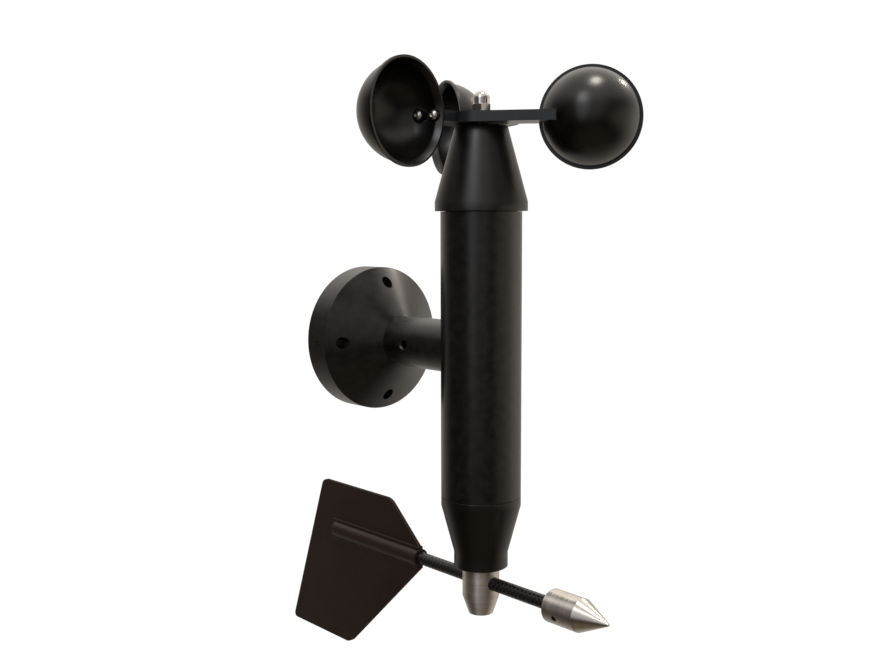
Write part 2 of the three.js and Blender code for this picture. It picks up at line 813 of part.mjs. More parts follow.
function vaneHub() {
  const edge = chamfer / 2;
  const body = turned([
    [0, hubBottom],
    [hubTipRadius - edge, hubBottom],
    [hubTipRadius, hubBottom + edge],
    [hubRadius, hubTop - hubStraight],
    [hubRadius, hubTop - edge],
    [hubRadius - edge, hubTop],
    [0, hubTop],
  ], fine);
  const thread = rod(threadRadius + shaftFit, rodHeight, hubTop + past, coarse);
  const screwHole = rod(hubScrewRadius + shaftFit, hubBottom - past, rodHeight, coarse);
  const cross = rod(rodHoleRadius, -2 * hubRadius, 2 * hubRadius, medium);
  cross.rotateY(Math.PI / 2).rotateZ(vaneTurn).translate(0, 0, rodHeight);
  return cut(body, thread, screwHole, cross);
}

add(sensor, 'vane_shaft', vaneShaft(), stainless);
add(sensor, 'vane_bearing_spacer', bearingSpacer(vaneBearing,
  vaneLowerBearing + vaneBearing.width / 2, vaneUpperBearing - vaneBearing.width / 2), stainless);
add(sensor, 'vane_hub', vaneHub(), stainless);
const hubScrew = setScrew(hubScrewRadius, hubScrewLength, hubScrewLength).rotateX(Math.PI);
hubScrew.translate(0, 0, rodHeight - rodHoleRadius - seamGap);
add(sensor, 'hub_rod_screw', hubScrew, stainless);

vane.rotation.z = vaneTurn;
vane.position.z = rodHeight;

// Turns a shape made about +Z so that +Z runs forward along the vane.
const alongVane = (geometry) => geometry.rotateY(Math.PI / 2);

const rodFront = weightStart + weightBoreDepth - seamGap;
const rodBack = -socketBoreEnd + seamGap;
add(vane, 'vane_rod', alongVane(ring(rodRadius - rodWall, rodRadius, rodBack, rodFront, medium)), carbon);

// ---------------------------------------------------------------- counterweight

// The set screw comes in from the vane's right side, a little below the level.
function sideways(geometry) {
  const down = THREE.MathUtils.degToRad(90 + weightScrewAngle);
  return geometry.rotateX(down).translate(weightScrewPlace, 0, 0);
}

function counterweight() {
  const edge = chamfer / 2;
  const body = alongVane(turned([
    [rodHoleRadius, weightStart],
    [weightRadius - edge, weightStart],
    [weightRadius, weightStart + edge],
    [weightRadius, weightShoulder],
    [weightTipRadius, weightTip],
    [0, weightTip],
    [0, weightStart + weightBoreDepth],
    [rodHoleRadius, weightStart + weightBoreDepth],
    [rodHoleRadius, weightStart],
  ], medium));
  const hole = rod(weightScrewRadius + shaftFit, rodRadius - rodWall, weightRadius + past, coarse);
  return cut(body, sideways(hole));
}

add(vane, 'counterweight', counterweight(), stainless);
const weightScrew = setScrew(weightScrewRadius, weightScrewLength, weightRadius - weightScrewSink);
add(vane, 'counterweight_screw', sideways(weightScrew), stainless);

// ---------------------------------------------------------------- tail fin

// A closed outline through the corners, each rounded to the same radius.
function roundedOutline(corners, radius) {
  const shape = new THREE.Shape();
  corners.forEach((corner, i) => {
    const before = corners[(i + corners.length - 1) % corners.length];
    const after = corners[(i + 1) % corners.length];
    const inward = before.clone().sub(corner).normalize();
    const outward = after.clone().sub(corner).normalize();
    const half = inward.angleTo(outward) / 2;
    const back = radius / Math.tan(half);
    const start = corner.clone().addScaledVector(inward, back);
    const end = corner.clone().addScaledVector(outward, back);
    if (i === 0) shape.moveTo(start.x, start.y);
    else shape.lineTo(start.x, start.y);
    shape.quadraticCurveTo(corner.x, corner.y, end.x, end.y);
  });
  shape.closePath();
  return shape;
}

function tailFin() {
  const outline = roundedOutline([
    new THREE.Vector2(-finRoot, 0),
    new THREE.Vector2(-finTopNear, finTop),
    new THREE.Vector2(-finTopFar, finTop),
    new THREE.Vector2(-finBottomFar, finBottom),
    new THREE.Vector2(-finBottomNear, finBottom),
  ], finCornerRadius);
  const plate = new THREE.ExtrudeGeometry(outline, {
    depth: finThickness, bevelEnabled: false, curveSegments: 6,
  });
  plate.translate(0, 0, -finThickness / 2).rotateX(Math.PI / 2);
  const round = socketRadius / 2;
  const socket = alongVane(turned([
    [0, -socketEnd],
    ...arc(socketRadius - round, -socketEnd + round, round, -90, 0, 3),
    [socketRadius, -socketStart],
    [0, -socketStart],
  ], medium));
  const padSize = [socketEnd - socketStart, finThickness + 2 * socketPadRise, 2 * socketPadHalf];
  const pad = new THREE.BoxGeometry(...padSize).translate(-(socketStart + socketEnd) / 2, 0, 0);
  const bore = alongVane(rod(rodHoleRadius, -socketBoreEnd, past - socketStart, medium));
  const front = alongVane(rod(3 * socketRadius, -socketStart, 0, coarse));
  return cut(join(plate, pad, socket), bore, front);
}

add(vane, 'tail_fin', tailFin(), finPlastic);

// ---------------------------------------------------------------- electronics

const boardRadius = cavityRadius - boardEdgeGap;

// A round board with a notch in its edge, where the wires pass.
function board(low) {
  const blank = rod(boardRadius, low, low + boardThickness, medium);
  const notch = new THREE.BoxGeometry(boardNotchWidth, 2 * boardNotchDepth, 4 * boardThickness);
  return cut(blank, notch.translate(0, boardRadius, low));
}

function standoff(low, high, side) {
  const pillar = rod(standoffRadius, low + stackGap, high - stackGap, coarse / 2);
  return pillar.translate(side * (boardRadius - standoffInset), 0, 0);
}

const speedBoardTop = tubeTop - speedBoardDrop;
const speedBoardLow = speedBoardTop - boardThickness;
const upperCeiling = upperShoulder + upperCavityTop;
const slotPlate = slotDiscLow + slotDiscHubHeight / 2;

function slotSensor() {
  const low = speedBoardTop + stackGap;
  const top = slotPlate + slotDiscThickness + slotSensorCover;
  const block = new THREE.BoxGeometry(slotSensorWidth, slotSensorWidth, top - low);
  block.translate(0, -slotDiscRadius, (top + low) / 2);
  const slot = new THREE.BoxGeometry(2 * slotSensorWidth, 2 * slotSensorReach, 3 * slotDiscThickness);
  slot.translate(0, slotSensorReach - slotDiscRadius - past, slotPlate + slotDiscThickness / 2);
  return cut(block, slot);
}

add(sensor, 'speed_board', board(speedBoardLow), circuitBoard);
add(sensor, 'slot_sensor', slotSensor(), blackPlastic);
[-1, 1].forEach((side, i) => {
  add(sensor, `speed_board_standoff_${i + 1}`, standoff(speedBoardTop, upperCeiling, side), nylon);
});

const magnetHolderLow = vaneShaftTop + stackGap;
const magnetLow = magnetHolderLow + magnetHolderFloor;
const magnetTop = magnetLow + magnetThickness;
const chipLow = magnetTop + magnetToChip;
const directionBoardLow = chipLow + chipThickness + stackGap;
const lowerFloor = lowerShoulder - lowerCavityTop;

function magnetHolder() {
  return turned([
    [0, magnetHolderLow],
    [magnetHolderRadius, magnetHolderLow],
    [magnetHolderRadius, magnetTop],
    [magnetRadius + shaftFit, magnetTop],
    [magnetRadius + shaftFit, magnetLow - stackGap],
    [0, magnetLow - stackGap],
  ], coarse);
}

add(sensor, 'magnet_holder', magnetHolder(), brass);
add(sensor, 'direction_magnet', rod(magnetRadius, magnetLow, magnetTop, coarse), magnetCoat);
const chip = new THREE.BoxGeometry(chipWidth, chipWidth, chipThickness);
chip.translate(0, 0, chipLow + chipThickness / 2);
add(sensor, 'angle_sensor', chip, blackPlastic);
add(sensor, 'direction_board', board(directionBoardLow), circuitBoard);
[-1, 1].forEach((side, i) => {
  add(sensor, `direction_board_standoff_${i + 1}`, standoff(lowerFloor, directionBoardLow, side), nylon);
});

export default anemometer;
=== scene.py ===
"""Cup anemometer with a wind vane: the visible pieces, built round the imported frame."""

import math

import bmesh
import bpy
from bpy.props import FloatProperty, FloatVectorProperty, IntProperty, PointerProperty
from mathutils import Matrix, Vector


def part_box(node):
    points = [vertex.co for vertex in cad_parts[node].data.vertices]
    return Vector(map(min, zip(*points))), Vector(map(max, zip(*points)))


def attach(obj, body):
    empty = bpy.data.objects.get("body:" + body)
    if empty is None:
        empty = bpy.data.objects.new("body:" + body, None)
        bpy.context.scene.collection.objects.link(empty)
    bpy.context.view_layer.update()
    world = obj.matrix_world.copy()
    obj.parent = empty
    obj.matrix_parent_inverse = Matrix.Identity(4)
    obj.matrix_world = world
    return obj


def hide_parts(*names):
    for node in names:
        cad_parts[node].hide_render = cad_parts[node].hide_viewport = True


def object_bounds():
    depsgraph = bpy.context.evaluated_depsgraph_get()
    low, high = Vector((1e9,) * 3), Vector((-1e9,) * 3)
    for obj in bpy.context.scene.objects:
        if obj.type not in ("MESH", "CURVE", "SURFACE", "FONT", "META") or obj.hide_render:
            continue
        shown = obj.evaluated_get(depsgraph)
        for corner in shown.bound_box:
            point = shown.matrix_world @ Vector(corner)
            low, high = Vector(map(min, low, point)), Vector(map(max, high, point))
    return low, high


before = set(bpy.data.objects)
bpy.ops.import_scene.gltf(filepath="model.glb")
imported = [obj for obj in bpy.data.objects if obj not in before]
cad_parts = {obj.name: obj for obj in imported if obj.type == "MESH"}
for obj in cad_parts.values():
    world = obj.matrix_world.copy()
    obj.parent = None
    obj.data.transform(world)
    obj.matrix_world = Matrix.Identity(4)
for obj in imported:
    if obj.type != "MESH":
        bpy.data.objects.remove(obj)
cad_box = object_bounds()

bl_info = {
    "name": "Cup anemometer with wind vane",
    "version": (1, 0, 0),
    "blender": (4, 5, 0),
    "location": "3D View > Sidebar > Anemometer",
    "description": "Builds the visible pieces of a wind speed and direction sensor",
    "category": "Object",
}

MM = 0.001
FULL_TURN = 2 * math.pi
ROUND_STEPS = 96  # facets round the large turned pieces
FLANGE_STEPS = 160  # facets round the flange, the widest piece
SMALL_STEPS = 40  # facets round screws, nuts and rods
SHARP = math.radians(24)  # edges sharper than this get a rounded corner
SEAM = 0.3  # gap between pieces that end against one another, in mm
PAST = 1  # how far a cutting tool reaches past the skin that it cuts, in mm
HOLE_STEPS = 24  # facets round small drilled holes
SHAFT_HOLE = 4.15  # radius of the holes for the shafts' threads, in mm
ROD_FIT = 0.15  # gap between the carbon rod and what it sits in, in mm
SPIGOT_FIT = 0.2  # gap between a spigot and the tube that it enters, in mm
UV_NAME = "wrap"
RUBBED = "rubbed"  # attribute: 1 on the rounded corners, where handling wears the finish; on the fin it carries painted shade


def box_mm(node):
    """The lowest and highest corners of a frame node, in mm."""
    low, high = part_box(node)
    return low / MM, high / MM


flange_high = box_mm("mounting_flange")[1]
tube_low, tube_high = box_mm("main_tube")
spider_low, spider_high = box_mm("cup_spider")
hub_low, hub_high = box_mm("vane_hub")
upper_high = box_mm("upper_bearing_head")[1]
lower_low = box_mm("lower_bearing_head")[0]
washer_low, washer_high = box_mm("nut_washer")
nut_low, nut_high = box_mm("cap_nut")
rod_low, rod_high = box_mm("vane_rod")
AXIS_Y = (tube_low.y + tube_high.y) / 2
ROD_Z = (rod_low.z + rod_high.z) / 2
VANE_HEADING = -90.9  # degrees about Z, the way that the counterweight points


# ---------------------------------------------------------------- sizes and colours


def length(name, description, default_mm):
    return FloatProperty(name=name, description=description, default=default_mm * MM,
                         min=0.0, unit="LENGTH", subtype="DISTANCE", precision=5)


def colour(name, description, code):
    return FloatVectorProperty(name=name, description=description, default=linear(code)[:3],
                               min=0.0, max=1.0, size=3, subtype="COLOR")


def linear(code):
    """An sRGB colour written as hex, as the linear values that shaders take."""
    values = [int(code[i:i + 2], 16) / 255 for i in (1, 3, 5)]
    return tuple(v / 12.92 if v <= 0.04045 else ((v + 0.055) / 1.055) ** 2.4 for v in values) + (1.0,)


class BodySizes(bpy.types.PropertyGroup):
    """Sizes of the flange, arm, tube and heads."""

    flange_radius: length("Flange radius", "Outside of the mounting flange", flange_high.x)
    flange_rim: length("Flange edge", "Thickness of the flange's edge", 21.4)
    bolt_circle: length("Bolt circle radius", "Flange centre to a bolt hole", 46)
    bolt_hole: length("Bolt hole radius", "Radius of a bolt hole", 4.5)
    arm_radius: length("Arm radius", "Outside of the side arm", 20)
    arm_wall: length("Arm wall", "Wall of the side arm", 3.5)
    tube_radius: length("Tube radius", "Outside of the main tube", tube_high.x)
    tube_wall: length("Tube wall", "Wall of the main tube", 3.5)
    rim_radius: length("Rim radius", "Widest part of the upper head", upper_high.x)
    cone_radius: length("Cone top radius", "Top of the upper head's cone", 19.2)
    nose_radius: length("Nose radius", "Bottom of the lower head", 20.35)
    corner: length("Edge rounding", "Rounding of the machined edges", 0.5)


class RotorSizes(bpy.types.PropertyGroup):
    """Sizes of the spider, cups and nut."""

    cup_count: IntProperty(name="Cups", description="Cups round the rotor", default=3, min=2, max=6)
    cup_radius: length("Cup radius", "Outside of a cup's ball shape", 35)
    cup_wall: length("Cup wall", "Wall of a cup", 1.6)
    lip_radius: length("Cup lip radius", "Outside of a cup's lip", 37)
    lip_thickness: length("Cup lip thickness", "Thickness of a cup's lip", 2)
    rotor_radius: length("Rotor radius", "Rotor axis to a cup's centre", 78.7)
    hub_radius: length("Spider hub radius", "Middle of the spider", 27)
    arm_tip: length("Spider arm", "Rotor axis to the tip of an arm", 57)
    first_cup: FloatProperty(name="First cup", description="Direction of the first cup's arm",
                             default=math.radians(-52.9), subtype="ANGLE")


class VaneSizes(bpy.types.PropertyGroup):
    """Sizes of the vane."""

    hub_radius: length("Hub radius", "Straight part of the vane hub", hub_high.x)
    hub_tip: length("Hub tip radius", "Bottom of the vane hub", 9.3)
    rod_radius: length("Rod radius", "Outside of the carbon rod", 5)
    weight_radius: length("Counterweight radius", "Straight part of the counterweight", 12)
    fin_thickness: length("Fin thickness", "Plate of the tail fin", 3)
    socket_radius: length("Socket radius", "Round rib that takes the rod", 6.1)
    fillet: length("Rib fillet", "Rounding between the rib and the strip", 0.7)
    strip: length("Strip half width", "Raised strip along the rib", 9.4)
    strip_rise: length("Strip rise", "Height of the strip above the plate", 1)


class Colours(bpy.types.PropertyGroup):
    """Colours of the visible finishes."""

    anodised: colour("Anodised body", "Hard-anodised aluminium", "#070605")
    worn: colour("Worn edges", "Anodised aluminium where it is rubbed", "#2b2927")
    plate: colour("Spider", "Hard-anodised plate, a bluer black", "#14191f")
    cup: colour("Cups", "Satin black paint", "#070605")
    fin: colour("Fin", "Moulded plastic", "#24160d")
    fibre: colour("Carbon fibre", "Fibres under resin", "#12100f")
    stainless: colour("Stainless steel", "Turned stainless steel", "#d8d3cb")
    plating: colour("Cap nut", "Bright plated steel", "#d4d2ce")


# ---------------------------------------------------------------- mesh helpers


def lathe(outline, steps=ROUND_STEPS, closed=False):
    """A shape turned about Z from (radius, height) corners in mm."""
    bm = bmesh.new()
    corners = [bm.verts.new((radius * MM, 0, height * MM)) for radius, height in outline]
    ends = corners[1:] + corners[:1] if closed else corners[1:]
    edges = [bm.edges.new(pair) for pair in zip(corners, ends)]
    return spun(bm, corners + edges, steps)


def spun(bm, geometry, steps):
    """Turns an outline in the XZ plane once round Z."""
    bmesh.ops.spin(bm, geom=geometry, cent=(0, 0, 0), axis=(0, 0, 1), angle=FULL_TURN,
                   steps=steps, use_merge=True, use_duplicate=False)
    return closed_up(bm)


def closed_up(bm):
    bmesh.ops.remove_doubles(bm, verts=bm.verts, dist=1e-6)
    bmesh.ops.recalc_face_normals(bm, faces=bm.faces)
    return bm


def cylinder(radius, low, high, steps=SMALL_STEPS, top_radius=None):
    """A solid cylinder or cone along Z, in mm."""
    bm = bmesh.new()
    bmesh.ops.create_cone(bm, cap_ends=True, segments=steps, radius1=radius * MM,
                          radius2=(radius if top_radius is None else top_radius) * MM,
                          depth=(high - low) * MM)
    return moved(bm, (0, 0, (low + high) / 2))


def ball(radius, steps=ROUND_STEPS):
    bm = bmesh.new()
    bmesh.ops.create_uvsphere(bm, u_segments=steps, v_segments=steps // 2, radius=radius * MM)
    return bm


def block(size, centre):
    """A box of (x, y, z) size about a centre, in mm."""
    bm = bmesh.new()
    bmesh.ops.create_cube(bm, size=MM)
    bmesh.ops.scale(bm, vec=size, verts=bm.verts)
    return moved(bm, centre)


def moved(bm, offset):
    bmesh.ops.translate(bm, vec=Vector(offset) * MM, verts=bm.verts)
    return bm


def turned_by(bm, degrees, axis):
    bmesh.ops.rotate(bm, cent=(0, 0, 0), matrix=Matrix.Rotation(math.radians(degrees), 3, axis),
                     verts=bm.verts)
    return bm


def scratch_object(bm):
    mesh = bpy.data.meshes.new("scratch")
    bm.to_mesh(mesh)
    bm.free()
    obj = bpy.data.objects.new("scratch", mesh)
    bpy.context.scene.collection.objects.link(obj)
    return obj


def carved(bm, tools, operation="DIFFERENCE"):
    """The shape with each tool cut away, joined on or kept in common."""
    blank = scratch_object(bm)
    cutters = [scratch_object(tool) for tool in tools]
    for cutter in cutters:
        step = blank.modifiers.new("carve", "BOOLEAN")
        step.operation = operation
        step.solver = "EXACT"
        step.object = cutter
    bpy.context.view_layer.update()
    graph = bpy.context.evaluated_depsgraph_get()
    mesh = bpy.data.meshes.new_from_object(blank.evaluated_get(graph))
    result = bmesh.new()
    result.from_mesh(mesh)
    bpy.data.meshes.remove(mesh)
    for obj in [blank, *cutters]:
        used = obj.data
        bpy.data.objects.remove(obj)
        bpy.data.meshes.remove(used)
    bmesh.ops.remove_doubles(result, verts=result.verts, dist=2e-6)
    return result


def softened(bm, width, segments=3, sharper_than=SHARP):
    """Rounds the sharp corners, and marks the rounded skin as rubbed: worn, and on the fin darkened as
    painted shade.
    """
    layer = bm.verts.layers.float.get(RUBBED) or bm.verts.layers.float.new(RUBBED)
    edges = [e for e in bm.edges if len(e.link_faces) == 2 and e.calc_face_angle(0) > sharper_than]
    made = bmesh.ops.bevel(bm, geom=edges, offset=width * MM, offset_type="OFFSET",
                           segments=segments, profile=0.5, affect="EDGES",
                           clamp_overlap=True, material=-1)
    for face in made["faces"]:
        for vert in face.verts:
            vert[layer] = 1.0
    return bm


def wrapped(bm):
    """Gives the shape a UV map: one unit round Z, and one per 10 mm of height less radius."""
    layer = bm.loops.layers.uv.get(UV_NAME) or bm.loops.layers.uv.new(UV_NAME)
    for face in bm.faces:
        centre = face.calc_center_median()
        middle = math.atan2(centre.y, centre.x)
        for loop in face.loops:
            place = loop.vert.co
            off_axis = math.hypot(place.x, place.y) > 1e-6
            angle = math.atan2(place.y, place.x) if off_axis else middle
            angle += FULL_TURN * round((middle - angle) / FULL_TURN)
            slope = place.z - math.hypot(place.x, place.y)
            loop[layer].uv = (angle / FULL_TURN, slope / (10 * MM))
    return bm


def piece(bm, name, body, slot, material, *nodes, flat_above=50):
    """The finished object: in place, shaded smooth, riding on its body, standing for its nodes."""
    for face in bm.faces:
        face.smooth = True
    for edge in bm.edges:
        edge.smooth = len(edge.link_faces) == 2 and edge.calc_face_angle(0) < math.radians(flat_above)
    mesh = bpy.data.meshes.new(name)
    bm.to_mesh(mesh)
    bm.free()
    mesh.materials.append(material)
    obj = bpy.data.objects.new(name, mesh)
    bpy.context.scene.collection.objects.link(obj)
    shading = obj.modifiers.new("even shading", "WEIGHTED_NORMAL")
    shading.keep_sharp = True
    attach(obj, body)
    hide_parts(*nodes)
    return obj


def on_axis(bm):
    """Moves a shape made about Z onto the sensor axis."""
    return moved(bm, (0, AXIS_Y, 0))


def along_arm(bm):
    """Turns a shape made about Z so that +Z runs out along the side arm."""
    return turned_by(bm, 90, "X")


def on_vane(bm):
    """Places a shape whose +X runs forward along the vane and whose Z is zero on the rod."""
    return moved(turned_by(bm, VANE_HEADING, "Z"), (0, AXIS_Y, ROD_Z))


def sizes_mm(group, *names):
    return [getattr(group, name) / MM for name in names]


# ---------------------------------------------------------------- material helpers


def add_node(tree, kind, inputs=None, **settings):
    """Adds a node with its settings, and sets or links its inputs."""
    node = tree.nodes.new(kind)
    for name, value in settings.items():
        setattr(node, name, value)
    for socket, value in (inputs or {}).items():
        if isinstance(value, bpy.types.NodeSocket):
            tree.links.new(value, node.inputs[socket])
        else:
            node.inputs[socket].default_value = value
    return node


def new_material(name):
    material = bpy.data.materials.new(name)
    material.use_nodes = True
    material.node_tree.nodes.clear()
    return material, material.node_tree


def shade(tree, inputs):
    shader = add_node(tree, "ShaderNodeBsdfPrincipled", inputs)
    output = add_node(tree, "ShaderNodeOutputMaterial")
    tree.links.new(shader.outputs[0], output.inputs["Surface"])
    return shader


def noise(tree, period_mm, stretch=(1, 1, 1), detail=3, roughness=0.55):
    """Noise on the object's own coordinates; one period is period_mm along an unstretched axis."""
    place = add_node(tree, "ShaderNodeTexCoord")
    scale = tuple(s / (period_mm * MM) for s in stretch)
    mapping = add_node(tree, "ShaderNodeMapping", {"Vector": place.outputs["Object"], "Scale": scale})
    texture = add_node(tree, "ShaderNodeTexNoise", {
        "Vector": mapping.outputs[0], "Scale": 1.0, "Detail": detail, "Roughness": roughness})
    return texture.outputs["Fac"]


def spread(tree, value, low, high, from_low=0.3, from_high=0.7):
    """Stretches the useful part of a noise to a range of values."""
    node = add_node(tree, "ShaderNodeMapRange", {
        "Value": value, "From Min": from_low, "From Max": from_high, "To Min": low, "To Max": high})
    return node.outputs[0]


def blended(tree, factor, first, second):
    node = add_node(tree, "ShaderNodeMix", data_type="RGBA")
    for socket, value in ((0, factor), (6, first), (7, second)):
        if isinstance(value, bpy.types.NodeSocket):
            tree.links.new(value, node.inputs[socket])
        else:
            node.inputs[socket].default_value = value
    return node.outputs[2]


def bumped(tree, height, depth_mm, strength=1.0):
    node = add_node(tree, "ShaderNodeBump", {
        "Height": height, "Distance": depth_mm * MM, "Strength": strength})
    return node.outputs[0]


def product(tree, first, second):
    return add_node(tree, "ShaderNodeMath", {0: first, 1: second}, operation="MULTIPLY").outputs[0]


def edge_wear_and_shade_mask(tree, period_mm, amount):
    """The rounded corners, broken up by noise: where handling has worn the finish, and on the fin where
    painted shade darkens the edges.
    """
    corners = add_node(tree, "ShaderNodeAttribute", attribute_name=RUBBED)
    patches = spread(tree, noise(tree, period_mm, detail=4), 0.0, amount, 0.4, 0.65)
    return product(tree, corners.outputs["Fac"], patches)


def tone(value):
    """A colour property as the four values that a shader takes."""
    return (*value[:3], 1.0)


def shifted(value, factor):
    """A colour made lighter or darker."""
    return (*(min(1.0, v * factor) for v in value[:3]), 1.0)


# ---------------------------------------------------------------- finishes


def hard_anodised(name, tint, worn_tint, stretch, rough=(0.25, 0.31)):
    """Hard-anodised aluminium: near-black oxide with a soft gloss and faint tool lines."""
    material, tree = new_material(name)
    lines = noise(tree, 9, stretch, detail=5, roughness=0.7)
    cloud = noise(tree, 34, detail=2)
    grit = noise(tree, 1.1, detail=2)  # the etched grain is finer; this is as fine as shows
    base = blended(tree, spread(tree, lines, 0, 1), shifted(tint, 0.85), shifted(tint, 1.15))
    base = blended(tree, spread(tree, cloud, 0, 0.3), base, shifted(tint, 1.5))
    base = blended(tree, edge_wear_and_shade_mask(tree, 7, 0.35), base, tone(worn_tint))
    rough_lines = spread(tree, lines, rough[0], rough[1])
    height = add_node(tree, "ShaderNodeMath", {0: lines, 1: grit}, operation="ADD").outputs[0]
    shade(tree, {
        "Base Color": base, "Roughness": rough_lines, "Metallic": 0.0, "IOR": 1.5,
        "Normal": bumped(tree, height, 0.0015)})
    return material


def satin_paint(name, colours):
    """Sprayed satin black paint over a moulded cup: deep black, tight highlight, slight peel."""
    material, tree = new_material(name)
    peel = noise(tree, 3.2, detail=2, roughness=0.4)
    haze = noise(tree, 22, detail=3)
    base = blended(tree, spread(tree, haze, 0, 1), shifted(colours.cup, 0.7), shifted(colours.cup, 1.5))
    worn = edge_wear_and_shade_mask(tree, 4, 0.25)
    base = blended(tree, worn, base, tone(colours.worn))
    shade(tree, {
        "Base Color": base, "Roughness": spread(tree, haze, 0.25, 0.31), "Metallic": 0.0,
        "IOR": 1.5, "Normal": bumped(tree, peel, 0.0006)})
    return material


def moulded_plastic(name, colours):
    """Moulded glass-filled nylon: dark brown-black, dull, with a fine spark-eroded grain."""
    material, tree = new_material(name)
    grain = noise(tree, 1.3, detail=3, roughness=0.6)
    flow = noise(tree, 48, (1, 1, 2.2), detail=2)
    base = blended(tree, spread(tree, flow, 0, 1), shifted(colours.fin, 0.85), shifted(colours.fin, 1.25))
    base = blended(tree, spread(tree, grain, 0, 0.25), base, shifted(colours.fin, 1.9))
    # Painted shade: the fin's rounded edges are darkened towards 0.4 of its colour, standing in for the
    # shade on its edges.
    worn = edge_wear_and_shade_mask(tree, 5, 0.3)
    base = blended(tree, worn, base, shifted(colours.fin, 0.4))
    normal = add_node(tree, "ShaderNodeTexCoord").outputs["Normal"]
    across = add_node(tree, "ShaderNodeSeparateXYZ", {0: normal}).outputs[0]
    facing = add_node(tree, "ShaderNodeMath", {0: across}, operation="ABSOLUTE").outputs[0]
    dull = spread(tree, facing, 0.5, 0.0, 0.1, 0.3)  # the edges are duller
    rough = add_node(tree, "ShaderNodeMath", {0: spread(tree, flow, 0.36, 0.44), 1: dull},
                     operation="ADD").outputs[0]
    shade(tree, {
        "Base Color": base, "Roughness": rough, "Metallic": 0.0,
        "IOR": 1.45, "Normal": bumped(tree, grain, 0.012)})
    return material


def woven_carbon(name, colours):
    """Carbon fibre tube, twill woven under clear resin: tows cross and catch the light in turn."""
    material, tree = new_material(name)
    uv = add_node(tree, "ShaderNodeUVMap", uv_map=UV_NAME).outputs[0]
    # Real tows are about 2 mm wide, and so are these: 14 round the rod and 5 per 10 mm along it.
    tows = add_node(tree, "ShaderNodeMapping", {"Vector": uv, "Scale": (14, 5, 1)}).outputs[0]
    checks = add_node(tree, "ShaderNodeTexChecker", {
        "Vector": tows, "Scale": 1.0, "Color1": (0, 0, 0, 1), "Color2": (1, 1, 1, 1)})
    fine = add_node(tree, "ShaderNodeMapping", {"Vector": uv, "Scale": (14, 5, 1),
                                                "Rotation": (0, 0, math.radians(45))}).outputs[0]
    ribs = add_node(tree, "ShaderNodeTexWave", {
        "Vector": fine, "Scale": 0.9, "Distortion": 0.4, "Detail": 1.0}, bands_direction="X")
    check = checks.outputs["Fac"]
    base = blended(tree, check, shifted(colours.fibre, 0.4), shifted(colours.fibre, 1.6))
    height = add_node(tree, "ShaderNodeMath", {0: check, 1: ribs.outputs["Fac"]},
                      operation="ADD").outputs[0]
    shade(tree, {
        "Base Color": base, "Roughness": spread(tree, check, 0.22, 0.5, 0, 1), "Metallic": 0.0,
        "IOR": 1.5, "Normal": bumped(tree, height, 0.05, 0.5)})
    return material


def turned_steel(name, tint, rough, stretch):
    """Turned stainless steel: fine tool marks run round it and stretch its highlights."""
    material, tree = new_material(name)
    grooves = noise(tree, 1.3, stretch, detail=3, roughness=0.6)
    stain = noise(tree, 14, detail=3)
    base = blended(tree, spread(tree, grooves, 0, 1), shifted(tint, 0.82), tone(tint))
    base = blended(tree, spread(tree, stain, 0, 0.3), base, shifted(tint, 0.62))
    tangent = add_node(tree, "ShaderNodeTangent", direction_type="UV_MAP", uv_map=UV_NAME).outputs[0]
    shade(tree, {
        "Base Color": base, "Roughness": spread(tree, grooves, rough[0], rough[1]), "Metallic": 1.0,
        "Anisotropic": 0.85, "Anisotropic Rotation": 0.25, "Tangent": tangent,
        "Normal": bumped(tree, grooves, 0.0001)})
    return material


def bright_metal(name, tint, rough, depth_mm=0.004):
    """Bright metal, rolled, plated or polished: even mirror gloss under fine scratches."""
    material, tree = new_material(name)
    scratches = noise(tree, 2, (1, 1, 3), detail=6, roughness=0.8)
    film = noise(tree, 9, detail=2)
    base = blended(tree, spread(tree, film, 0, 1), shifted(tint, 0.8), tone(tint))
    base = blended(tree, edge_wear_and_shade_mask(tree, 2, 0.5), base, shifted(tint, 1.1))
    shade(tree, {
        "Base Color": base, "Roughness": spread(tree, scratches, rough[0], rough[1]), "Metallic": 1.0,
        "Normal": bumped(tree, scratches, depth_mm)})
    return material


def moulded_part(name, code, rough, ior):
    """Small moulded parts in rubber, nylon or plastic: one colour, mottled, with a fine grain."""
    material, tree = new_material(name)
    tint = linear(code)
    grain = noise(tree, 0.9, detail=3)
    mottle = noise(tree, 7, detail=3)
    base = blended(tree, spread(tree, mottle, 0, 1), shifted(tint, 0.75), shifted(tint, 1.25))
    shade(tree, {
        "Base Color": base, "Roughness": spread(tree, grain, rough[0], rough[1]), "Metallic": 0.0,
        "IOR": ior, "Normal": bumped(tree, grain, 0.02)})
    return material


def circuit_board(name):
    """Fibreglass board under green solder mask, with the copper tracks showing paler through it."""
    material, tree = new_material(name)
    place = add_node(tree, "ShaderNodeTexCoord").outputs["Object"]
    grid = add_node(tree, "ShaderNodeMapping", {"Vector": place, "Scale": (1 / (2.5 * MM),) * 3}).outputs[0]
    cells = add_node(tree, "ShaderNodeTexVoronoi", {"Vector": grid, "Scale": 1.0},
                     feature="F1", distance="CHEBYCHEV")
    tracks = spread(tree, cells.outputs["Distance"], 1, 0, 0.18, 0.24)
    weave = noise(tree, 0.8, detail=2)
    base = blended(tree, tracks, linear("#14492d"), linear("#2c7a4c"))
    shade(tree, {
        "Base Color": base, "Roughness": spread(tree, weave, 0.25, 0.4), "Metallic": 0.0, "IOR": 1.5,
        "Normal": bumped(tree, tracks, 0.04)})
    return material


def plain_white(name):
    """Seamless white studio paper, evenly lit to full white, with a trace of its fibre."""
    material, tree = new_material(name)
    fibre = noise(tree, 40, detail=2)
    tint = blended(tree, spread(tree, fibre, 0, 1), (1.0, 1.0, 1.0, 1.0), (0.995, 0.995, 0.995, 1.0))
    glow = add_node(tree, "ShaderNodeEmission", {"Color": tint, "Strength": 1.02})
    output = add_node(tree, "ShaderNodeOutputMaterial")
    tree.links.new(glow.outputs[0], output.inputs["Surface"])
    return material


